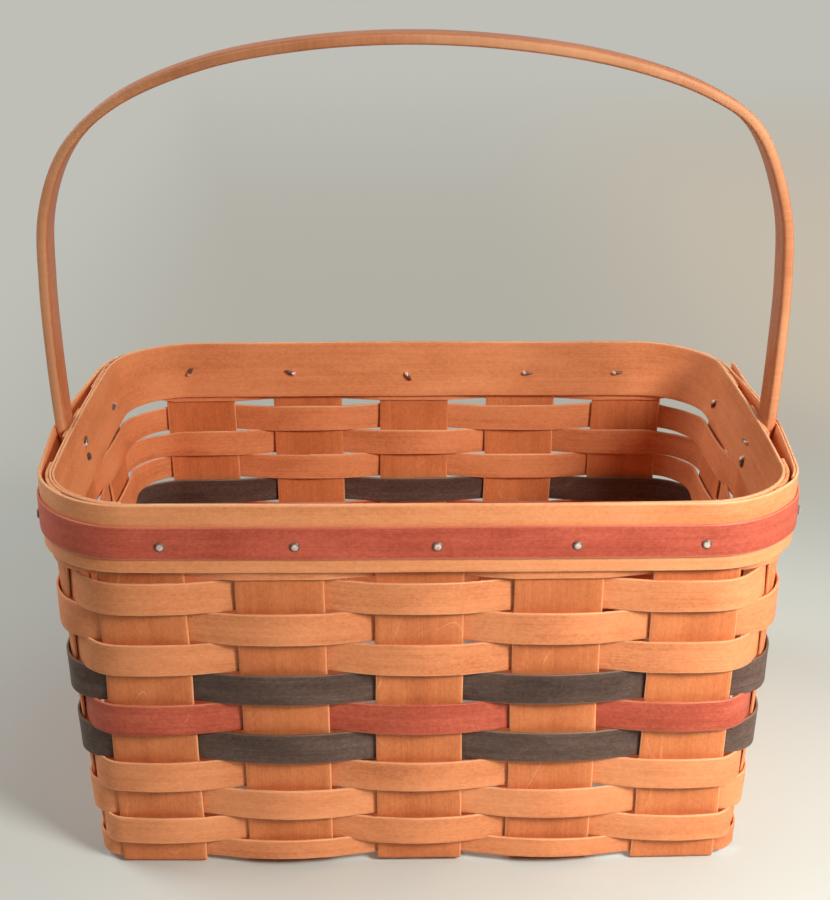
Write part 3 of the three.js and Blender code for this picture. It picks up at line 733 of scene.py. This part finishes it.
# Weavers, from the top row down. Odd rows pass outside the even stakes, and even rows the odd.
ROW_NAMES = ["weaver_top", *(f"weaver_{row}" for row in range(1, 10)), "weaver_bottom"]
TOP_ROW, BOTTOM_ROW = 0, len(ROW_NAMES) - 1
DARK = (charcoal, "charcoal_splint")
ROW_FINISHES = {4: DARK, 5: (brick, "red_splint"), 6: DARK}
ROWS_PER_STAKE, WEAVE_SOFTENING = 36, 5
BACK_FADE, END_FADE = (0.35, 0.75), (0.6, 0.8)


def lap_layers(stations, start, end, stock):
    """Where a strip's ends lap: how far each row's middle stands out from the face under it, and
    the share of its thickness that it keeps."""
    into = end - STAKES
    under = 1 - smooth(stations, into, into + LAP_TAPER)
    over = smooth(stations, start + STAKES - LAP_TAPER, start + STAKES - LAP_TIP)
    thickness = mix(stock.thickness, stock.lapped, np.maximum(under, over))
    return thickness / 2 + over * (stock.lapped + LAP_PLAY), thickness / stock.thickness


def weave(stations, z, row, bulges):
    """How far a weaver lies off the stakes' middle: bowed over their faces, and crossing over
    between them."""
    nearest = np.round(stations)
    outside = np.where(nearest % 2 != row % 2, 1, -1)
    gaps = np.array([walls.gap_to_next(stake, z) for stake in range(STAKES)])
    gap = gaps[np.floor(stations).astype(int) % STAKES]
    away = np.abs(stations - nearest) * gap
    face = SPLINT_WIDTH / 2
    bulge = bulges[nearest.astype(int) % STAKES] - WEAVER_AT_EDGE
    bowed = WEAVER_AT_EDGE + bulge * np.cos(math.pi / 2 * np.clip(away / face, 0, 1))
    crossing = WEAVER_AT_EDGE * (gap / 2 - away) / (gap / 2 - face)
    return soften(outside * np.where(away < face, bowed, crossing), WEAVE_SOFTENING)


def near_back_corners(stations):
    away = np.min([np.abs(stations % STAKES - corner) for corner in BACK_CORNERS], axis=0)
    return 1 - smooth(away, CORNER_REACH / 3, CORNER_REACH)


def at_back(stations):
    """1 in the middle of the back wall, falling to 0 in the middle of the front."""
    return (1 - np.cos(2 * math.pi * (stations - FRONT_MIDDLE) / STAKES)) / 2


def on_back(stations):
    """1 along the back wall, falling to 0 over the two ends."""
    return smooth(at_back(stations), *BACK_FADE)


def on_end(stations):
    """1 along the two end walls, falling to 0 round their corners."""
    turn = math.pi * (stations - FRONT_MIDDLE) / (STAKES / 2)
    return smooth(np.sin(turn) ** 2, *END_FADE)


def along_wall(stations):
    """1 in the middle of a long wall, falling to 0 at its outer stakes."""
    turn = (stations + STAKES / 4) % (STAKES / 2) - STAKES / 4 - FRONT_MIDDLE
    return np.clip(1 - (turn / FRONT_MIDDLE) ** 2, 0, 1)


def row_bulges(row, random):
    """How far a row bows out over the middle of each stake."""
    if row == TOP_ROW:
        return np.full(STAKES, TOP_BULGE)
    usual = np.repeat((LONG_WALL_BULGE, END_BULGE) * 2, (LONG_COUNT, END_COUNT) * 2)
    return usual * random.uniform(*BULGE_SPREAD, STAKES)


def row_narrowing(row, stations):
    """How much narrower than its node a row is."""
    if row == TOP_ROW:
        return np.zeros_like(stations)
    narrowing = mix(FRONT_ROW_NARROWING, BACK_ROW_NARROWING, at_back(stations))
    if row in NARROWED_ROWS:
        narrowing += CORNER_NARROWING * near_back_corners(stations)
    if row != BOTTOM_ROW:
        narrowing -= END_ROW_WIDENING * on_end(stations)
    return narrowing


def row_lift(row, stations, wave):
    """How far a row lies above its node's middle."""
    if row == TOP_ROW:
        return CORNER_LIFT * near_back_corners(stations)
    on_face = np.clip((np.abs(wave) - WEAVER_AT_EDGE) / (LONG_WALL_BULGE - WEAVER_AT_EDGE), 0, 1)
    lift = FACE_RISE * on_face - CROSSING_DROP - BACK_WALL_DROP * on_back(stations)
    if row == BOTTOM_ROW:
        lift += BOTTOM_ROW_LIFT * along_wall(stations) + CROSSING_DROP * on_end(stations)
    return lift


def weaver(row, name):
    low, high = heights(name)
    middle_z = (low + high) / 2
    random = np.random.default_rng((SEED, 3, row))
    start = FIRST_BACK + (row + 1) % 2 + 2 * (row // 2 % 2)
    end = start + 1 + STAKES
    stations = np.linspace(start, end, (STAKES + 1) * ROWS_PER_STAKE + 1)
    wave = weave(stations, middle_z, row, row_bulges(row, random))
    stands, kept = lap_layers(stations, start, end, WEAVER)
    lift = wander(random, stations, ROW_DRIFT, (2, 3, 5)) + row_lift(row, stations, wave)
    half = (high - low - row_narrowing(row, stations)) / 2
    top = half + wander(random, stations, EDGE_DRIFT)
    bottom = wander(random, stations, EDGE_DRIFT) - half
    z = middle_z + lift[:, None] + mix(bottom[:, None], top[:, None], (ACROSS + 1) / 2)
    out = wave + stands - (SPLINT.thickness + WEAVER.thickness) / 2
    cupped = WEAVER_CUPPING * wave[:, None] * ACROSS ** 2
    lean = 0 if row == TOP_ROW else WEAVER_LEAN
    points = walls.place(stations[:, None], z, out[:, None] + cupped - lean * ACROSS)
    material, slot = ROW_FINISHES.get(row, (natural, "natural_splint"))
    place_piece(strip(name, points, high - low, WEAVER, material, kept), slot, name)


for row, name in enumerate(ROW_NAMES):
    weaver(row, name)


# Rim: the bands lean out below, over the top weaver, and the outer one swells over the handle
def band_clearance(z):
    return BAND_PLAY + BAND_LEAN * (HEIGHT - z)


def handle_thickness(z):
    share = np.clip((z - HANDLE_TIP) / (HEIGHT - HANDLE_TIP), 0, 1)
    return mix(HANDLE_TIP_THICKNESS, BENTWOOD.thickness, share)


def handle_swell(stations, z):
    """1 where the outer band rides over the handle, falling to 0 at BAND_SWELL_REACH."""
    swell = 0
    plateau = HANDLE_WIDTH / 2 + BAND_PLAY
    for stake in HANDLE_STAKES:
        offset = (stations - stake + STAKES / 2) % STAKES - STAKES / 2
        steps = np.abs(offset)
        away = np.minimum(steps, 1) * walls.gap_beside(stake, offset, z)
        away += np.maximum(steps - 1, 0) * CORNER_SPACING
        share = np.clip((away - plateau) / (BAND_SWELL_REACH - plateau), 0, 1)
        swell = np.maximum(swell, 1 - share)
    return swell


def outer_band_inside(stations, z):
    edges = []
    for edge in (OUTER_BAND_BOTTOM, HEIGHT):
        clear = band_clearance(edge)
        over = max(clear, handle_thickness(edge) + 2 * BAND_PLAY)
        edges.append(mix(clear, over, handle_swell(stations, edge)))
    return mix(*edges, (z - OUTER_BAND_BOTTOM) / (HEIGHT - OUTER_BAND_BOTTOM))


# The stations where the bands and the strip start and end. The outer band's end stands off.
OUTER_ENDS = (4.95, 7.17 + STAKES)
INNER_ENDS = (12.9, 15.9 + STAKES)
STRIP_ENDS = (9.2, 10.0 + STAKES)
LOOSE_END_REACH, LOOSE_END_LIFT, LOOSE_END_RISE = 0.5, 2.2, 0.9


def band_stack(stations):
    """How thick the outer band's one or two layers are together."""
    start, end = OUTER_ENDS
    turn = (stations - start) % STAKES
    lap = end - start - STAKES
    before = smooth(turn, STAKES - LAP_TAPER, STAKES - LAP_TIP)
    after = np.where(turn > lap, 1 - smooth(turn, lap, lap + STACK_TAPER), 1.0)
    return mix(BAND.thickness, 2 * BAND.lapped + LAP_PLAY, np.maximum(before, after))


def strip_inside(stations, z):
    return outer_band_inside(stations, z) + band_stack(stations) + LAP_PLAY


def outer_lie(stations, z, stands):
    loose = smooth(stations, OUTER_ENDS[1] - LOOSE_END_REACH, OUTER_ENDS[1])
    out = outer_band_inside(stations, z) + stands + LOOSE_END_LIFT * loose
    return z + LOOSE_END_RISE * loose, out


def inner_lie(stations, z, stands):
    return z, -SPLINT.thickness - band_clearance(z) - stands


def strip_lie(stations, z, stands):
    return z, strip_inside(stations, z) + stands


def hoop(name, slot, stock, material, ends, lie, seed, drift, dip=np.zeros_like, extra=0):
    """A flat band round the rim. lie turns its places, and how far it stands off what is under
    it, to heights and millimetres out. Its edges wander by drift, dip below its node's top and
    extra below its bottom."""
    random = np.random.default_rng((SEED, seed))
    bottom, top = heights(name)
    start, end = ends
    stations = np.linspace(start, end, int((end - start) * ROWS_PER_STAKE) + 1)
    low = bottom - extra + wander(random, stations, drift)
    high = top - dip(stations) + wander(random, stations, drift)
    stands, kept = lap_layers(stations, start, end, stock)
    z, out = lie(
        stations[:, None], mix(low[:, None], high[:, None], (ACROSS + 1) / 2), stands[:, None])
    points = walls.place(stations[:, None], z, out)
    place_piece(strip(name, points, top - bottom, stock, material, kept), slot, name)


hoop(
    "outer_rim_band", "rim_wood", BAND, band_wood, OUTER_ENDS, outer_lie, seed=4,
    drift=BAND_EDGE_DRIFT, dip=lambda stations: OUTER_BAND_DROP * at_back(stations))
hoop(
    "inner_rim_band", "rim_wood", BAND, band_wood, INNER_ENDS, inner_lie, seed=5,
    drift=BAND_EDGE_DRIFT, dip=lambda stations: INNER_BAND_DROP * (1 - at_back(stations)),
    extra=INNER_BAND_EXTRA)
hoop(
    "red_rim_strip", "red_strip_wood", RED_STRIP, strip_wood, STRIP_ENDS, strip_lie, seed=6,
    drift=STRIP_EDGE_DRIFT)

# Handle: two tapered legs against the middle end stakes, and the arch bent between them
LEG_ROWS, ARCH_ROWS, HANDLE_ROWS = 24, 16, 320
HANDLE_SOFTENING = 7


def bent_through(places):
    """A smooth line through those places, with its bends spread by their spacing."""
    places = np.array(places, float)
    places = np.vstack((2 * places[0] - places[1], places, 2 * places[-1] - places[-2]))
    share = np.linspace(0, 1, ARCH_ROWS, endpoint=False)[:, None]
    line = []
    for a, b, c, d in zip(places, places[1:], places[2:], places[3:]):
        before, here, after = (np.linalg.norm(q - p) ** 0.5 for p, q in ((a, b), (b, c), (c, d)))
        leave = (c - b) + here * ((b - a) / before - (c - a) / (before + here))
        arrive = (c - b) + here * ((d - c) / after - (d - b) / (here + after))
        line.append(
            b + leave * share + (3 * (c - b) - 2 * leave - arrive) * share ** 2
            + (leave + arrive - 2 * (c - b)) * share ** 3)
    return np.vstack(line + [places[-2:-1]])


def leg_line(stake):
    """A leg's middle line from its tip up to the rim, as x and height."""
    z = np.linspace(HANDLE_TIP, HEIGHT, LEG_ROWS)
    return np.column_stack((walls.place(stake, z, BAND_PLAY + handle_thickness(z) / 2)[:, 0], z))


def handle():
    right, left = (leg_line(stake) for stake in HANDLE_STAKES)
    bends = [(x, HEIGHT + rise) for x, rise in HANDLE_BENDS]
    arch = bent_through([right[-1], *bends, left[-1]])
    line = np.vstack((right, arch[1:-1], left[::-1]))
    x, z = (soften(values, HANDLE_SOFTENING) for values in evened(line, HANDLE_ROWS))
    random = np.random.default_rng((SEED, 7))
    turn = np.linspace(0, STAKES, HANDLE_ROWS)
    width = HANDLE_WIDTH + wander(random, turn, WIDTH_DRIFT, (2, 3, 5))
    sway = wander(random, turn, HANDLE_SWAY, (1, 2, 3))
    y = END_MIDDLE_Y + sway[:, None] - ACROSS * width[:, None] / 2
    points = np.stack(np.broadcast_arrays(x[:, None], y, z[:, None]), -1)
    kept = handle_thickness(z) / BENTWOOD.thickness
    piece = strip("handle", points, HANDLE_WIDTH, BENTWOOD, handle_wood, kept)
    place_piece(piece, "handle_wood", "handle")


handle()


# Tacks: a domed head outside, a shank through the rim and a point turned over inside
def skin(rings, sides):
    """The faces between rings of points that follow one another."""
    faces = []
    for i in range((rings - 1) * sides):
        j = i - i % sides + (i + 1) % sides
        faces.append((i, j, j + sides, i + sides))
    return faces


def solid(name, vertices, faces):
    """A tack's part, which knows how far its points lie off the tack's axis."""
    mesh = bpy.data.meshes.new(name)
    mesh.from_pydata(np.array(vertices) * MM, [], faces)
    store(mesh, "rim", [math.hypot(x, y) / TACK_HEAD_RADIUS for x, y, _ in vertices])
    return new_object(name, mesh)


def lathe(name, profile, sides):
    """A closed shape turned round Z from (radius, height) rings, with a pole beyond each end."""
    turns = np.linspace(0, 2 * math.pi, sides, endpoint=False)
    vertices = [(r * math.cos(t), r * math.sin(t), h) for r, h in profile for t in turns]
    faces = skin(len(profile), sides)
    count = len(vertices)
    for i in range(sides):
        j = (i + 1) % sides
        faces += [(count, j, i), (count - sides + i, count - sides + j, count + 1)]
    poles = [(0, 0, profile[end][1]) for end in (0, -1)]
    return solid(name, vertices + poles, faces)


POINT_SIDES, POINT_BEND_ROWS = 10, 7
POINT_TURN, POINT_BEND, POINT_SINK, POINT_ROOT = math.radians(88), 1.1, 0.05, 0.4


def turned_point():
    """A tack's end inside, turned over flat and narrowing."""
    radius = TACK_POINT_RADIUS
    bend = radius * POINT_BEND
    path = [(0, POINT_ROOT, radius)]
    for turn in np.linspace(0, POINT_TURN, POINT_BEND_ROWS):
        path.append((bend * (1 - math.cos(turn)), -bend * math.sin(turn), radius))
    reach, depth, _ = path[-1]
    for length, width in TACK_POINT_END:
        path.append((reach + length, depth - POINT_SINK * length, radius * width))
    vertices = []
    for i, (x, z, wide) in enumerate(path):
        before, after = path[max(i - 1, 0)], path[min(i + 1, len(path) - 1)]
        slope = math.atan2(after[0] - before[0], before[1] - after[1])
        for side in range(POINT_SIDES):
            angle = 2 * math.pi * side / POINT_SIDES
            across, out = wide * math.cos(angle), wide * math.sin(angle)
            vertices.append((x + out * math.cos(slope), across, z + out * math.sin(slope)))
    caps = [range(POINT_SIDES)[::-1], range(len(vertices) - POINT_SIDES, len(vertices))]
    return solid("tack_point", vertices, skin(len(path), POINT_SIDES) + caps)


def tack_tree():
    """Sets a head, a shank and a turned-over point on each place."""
    nodes, given = tree_with("driven tacks", {
        "Head": "Object", "Shank": "Object", "Point": "Object", "Tilt": "Float", "Seed": "Int",
        "Material": "Material",
    })

    def vector(x, y, z):
        return nodes.add("ShaderNodeCombineXYZ", {}, {"X": x, "Y": y, "Z": z}).outputs[0]

    def chance(spread, seed):
        return nodes.add("FunctionNodeRandomValue", {"data_type": "FLOAT_VECTOR"}, {
            0: tuple(-size for size in spread), 1: spread, "Seed": seed,
        }).outputs[0]

    facing = nodes.add("FunctionNodeAlignRotationToVector", {"axis": "Z"}, {
        "Vector": nodes.stored("outward", "FLOAT_VECTOR"),
    }).outputs[0]
    depth = nodes.stored("depth")
    tilt = nodes.scaled(chance((1.0, 1.0, 3.0), given["Seed"]), given["Tilt"])
    changes = (
        ("Head", "Rotate", "Rotation", tilt),
        ("Shank", "Scale", "Scale", vector(1.0, 1.0, depth)),
        ("Point", "Rotate", "Rotation", chance((0.0, 0.0, math.pi), given["Seed"] + 5)),
    )
    joined = nodes.add("GeometryNodeJoinGeometry")
    for part, change, key, amount in changes:
        shape = nodes.add("GeometryNodeObjectInfo", {}, {"Object": given[part]}).outputs["Geometry"]
        placed = nodes.add("GeometryNodeInstanceOnPoints", {}, {
            "Points": given["Geometry"], "Instance": shape, "Rotation": facing,
        }).outputs[0]
        if part == "Point":
            placed = nodes.add("GeometryNodeTranslateInstances", {}, {
                "Instances": placed, "Translation": vector(0.0, 0.0, depth * -MM),
            }).outputs[0]
        changed = nodes.add(f"GeometryNode{change}Instances", {}, {
            "Instances": placed, key: amount,
        }).outputs[0]
        nodes.feed(joined.inputs[0], changed)
    smoothed = nodes.add("GeometryNodeSetShadeSmooth", {}, {"Geometry": joined.outputs[0]})
    return close_tree(nodes, smoothed.outputs[0], given["Material"])


def tack_places():
    """Each tack's name, stake, drift along the wall and height."""
    places = []
    long_walls = (("front", 0, FRONT_TACK_DRIFT), ("back", FIRST_BACK, BACK_TACK_DRIFT))
    for side, first, drifts in long_walls:
        for i, drift in enumerate(drifts):
            places.append((f"tack_{side}_{i + 1}", first + i, drift, TACK_LEVEL))
    for side, first in (("right", FIRST_RIGHT), ("left", FIRST_LEFT)):
        rises = (0, HANDLE_TACK_SPREAD, -HANDLE_TACK_SPREAD, 0)
        for i, (stake, rise) in enumerate(zip((0, 1, 1, 2), rises)):
            places.append((f"tack_{side}_{i + 1}", first + stake, 0, TACK_LEVEL + rise))
    return places


HEAD_SIDES, SHANK_SIDES = 20, 10
HEAD_NECK, SHANK_SHARE, SHANK_TOP = 0.4, 0.97, 0.02
HEAD_STANDS_OFF, SHANK_EXTRA = 0.05, 0.2


def tacks():
    neck = [(TACK_SHANK_RADIUS, -HEAD_NECK), (TACK_SHANK_RADIUS, 0)]
    dome = [(TACK_HEAD_RADIUS * share, height) for share, height in TACK_HEAD_RINGS]
    head = lathe("tack_head", neck + dome, HEAD_SIDES)
    radius = TACK_SHANK_RADIUS * SHANK_SHARE
    shank = lathe("tack_shank", [(radius, -1), (radius, SHANK_TOP)], SHANK_SIDES)
    point = turned_point()
    places = tack_places()
    spots, outward, depths = [], [], []
    for _, stake, drift, z in places:
        station = walls.station(stake, drift, z)
        face = strip_inside(station, z) + RED_STRIP.thickness
        back = -SPLINT.thickness - band_clearance(z) - BAND.thickness
        spots.append(walls.place(station, z, face + HEAD_STANDS_OFF) * MM)
        outward.append(walls.place(station, z, face + 1) - walls.place(station, z, face))
        depths.append(float(face - back) + SHANK_EXTRA)
    mesh = bpy.data.meshes.new("tacks")
    mesh.from_pydata(spots, [], [])
    store(mesh, "outward", outward, "FLOAT_VECTOR")
    store(mesh, "depth", depths)
    piece = apply_tree(new_object("tacks", mesh), tack_tree(), {
        "Head": head, "Shank": shank, "Point": point, "Tilt": TACK_TILT, "Seed": SEED,
        "Material": tack_steel,
    })
    for part in (head, shank, point):
        bpy.data.objects.remove(part)
    place_piece(piece, "tack_metal", *(name for name, *_ in places))


tacks()

# Studio: a plain pale floor, soft light and the camera, in metres
FLOOR_REACH = 6.0
FLOOR_COLOUR = colour(209, 214, 208)
# The backdrop's colours paint its light and shade: shaded near the basket, lit paler far behind and
# at the left, warm and lit at the right
BACKDROP_LIT, BACKDROP_SHADED = colour(191, 191, 184), colour(177, 174, 163)
BACKDROP_WARM_LIT, BACKDROP_ROOM = colour(199, 188, 171), colour(188, 189, 184)

# Where the floor turns into backdrop, and where the backdrop's painted light pales it behind and at
# # the left and warms it at the right, round a painted shade near the basket in the middle
FLOOR_TO_BACKDROP = (0.26, 0.62)
BEHIND, AT_LEFT, AT_RIGHT = (0.6, 2.4), (-0.42, -0.12), (0.08, 0.42)


def seen(nodes):
    """1 for what the camera sees, itself or in something shiny or clear, and 0 for other light."""
    rays = nodes.add("ShaderNodeLightPath").outputs
    share = Value(nodes, rays["Is Camera Ray"])
    for kind in ("Is Glossy Ray", "Is Transmission Ray"):
        share = share.math("MAXIMUM", rays[kind])
    return share


def floor_finish():
    """Matt paper under the basket, which shows farther off as a backdrop with painted light and
    shade: darker near the basket in the middle, paler behind and at the left, warmer at the right.
    """
    paper = Finish("pale paper")
    place = paper.add("ShaderNodeTexCoord").outputs["Object"]
    split = paper.add("ShaderNodeSeparateXYZ", {}, {"Vector": place})
    x, y = Value(paper, split.outputs["X"]), Value(paper, split.outputs["Y"])
    fibre = paper.noise(place, scale=700.0, detail=3)
    near = paper.shader({
        "Base Color": FLOOR_COLOUR, "Roughness": (fibre - 0.5) * 0.1 + 0.85,
        "Specular IOR Level": 0.2, "Normal": paper.bump(fibre, 0.05, 0.0003),
    })
    # Painted light and shade on the backdrop: it blends from the shaded colour near the basket to
    # the lit paler and warm colours
    paler = y.step(*BEHIND).math("MAXIMUM", x.step(*AT_LEFT, 1.0, 0.0))
    warmer = x.step(*AT_RIGHT) * y.step(*BEHIND, 1.0, 0.0)
    backdrop = paper.blend(warmer, paper.blend(paler, BACKDROP_SHADED, BACKDROP_LIT), BACKDROP_WARM_LIT)
    far = paper.add("ShaderNodeEmission", {}, {"Color": backdrop, "Strength": 1.0})
    away = (x * x + y * y).math("SQRT").step(*FLOOR_TO_BACKDROP)
    return paper.end_in(paper.add("ShaderNodeMixShader", {}, {
        0: seen(paper) * away, 1: near.outputs[0], 2: far.outputs[0],
    }))


floor_mesh = bpy.data.meshes.new("floor")
corners = ((-1, -1), (1, -1), (1, 1), (-1, 1))
floor_mesh.from_pydata([(x * FLOOR_REACH, y * FLOOR_REACH, 0) for x, y in corners], [], [range(4)])
floor_mesh.materials.append(floor_finish())
new_object("floor", floor_mesh)

WARM_WHITE, COOL_WHITE = (1.0, 0.97, 0.93), (0.94, 0.97, 1.0)
ROOM_TINT, ROOM_STRENGTH = (1.0, 0.72, 0.48, 1.0), 0.10


def area_light(name, place, target, size, power, tint, spread=180):
    lamp = bpy.data.lights.new(name, "AREA")
    lamp.shape = "DISK"
    lamp.size = size
    lamp.energy = power
    lamp.color = tint
    lamp.spread = math.radians(spread)
    holder = new_object(name, lamp)
    holder.location = place
    holder.rotation_euler = (Vector(target) - Vector(place)).to_track_quat("-Z", "Y").to_euler()


area_light("key light", (0.46, -0.48, 0.50), (0.27, -0.20, 0.17), 0.25, 2.2, WARM_WHITE, spread=100)
area_light("top light", (0.3, 0.1, 1.6), (0, 0, 0.1), 1.0, 3.4, WARM_WHITE)
area_light("left fill", (-0.9, 0.25, 0.85), (0, 0, 0.12), 0.8, 7.5, COOL_WHITE)

world = bpy.data.worlds.new("studio")
bpy.context.scene.world = world
world.use_nodes = True
world.node_tree.nodes.clear()
sky = Nodes(world.node_tree)
room = sky.add("ShaderNodeBackground", {}, {"Color": ROOM_TINT, "Strength": ROOM_STRENGTH})
backdrop = sky.add("ShaderNodeBackground", {}, {"Color": BACKDROP_ROOM, "Strength": 1.0})
shown = sky.add("ShaderNodeMixShader", {}, {
    0: seen(sky), 1: room.outputs[0], 2: backdrop.outputs[0],
})
sky.add("ShaderNodeOutputWorld", {}, {"Surface": shown.outputs[0]})

# The photograph's camera
CAMERA_PLACE = (-7.555, -627.85, 399.51)
CAMERA_DOWN, CAMERA_TURN, CAMERA_ROLL = 21.99, 0.641, -0.034
CAMERA_LENS, CAMERA_SENSOR = 65.40, 36

down, turn, roll = (math.radians(angle) for angle in (CAMERA_DOWN, CAMERA_TURN, CAMERA_ROLL))
reach = math.cos(down)
forward = Vector((math.sin(turn) * reach, math.cos(turn) * reach, -math.sin(down)))
level = Vector((math.cos(turn), -math.sin(turn), 0))
above = level.cross(forward)
right = level * math.cos(roll) + above * math.sin(roll)
up = above * math.cos(roll) - level * math.sin(roll)
lens = bpy.data.cameras.new("camera")
lens.lens = CAMERA_LENS
lens.sensor_width = CAMERA_SENSOR
lens.sensor_fit = "HORIZONTAL"
camera = new_object("camera", lens)
place = [length * MM for length in CAMERA_PLACE]
camera.matrix_world = Matrix(
    [(right[i], up[i], -forward[i], place[i]) for i in range(3)] + [(0, 0, 0, 1)])
bpy.context.scene.camera = camera
bpy.context.scene.view_settings.view_transform = "Standard"
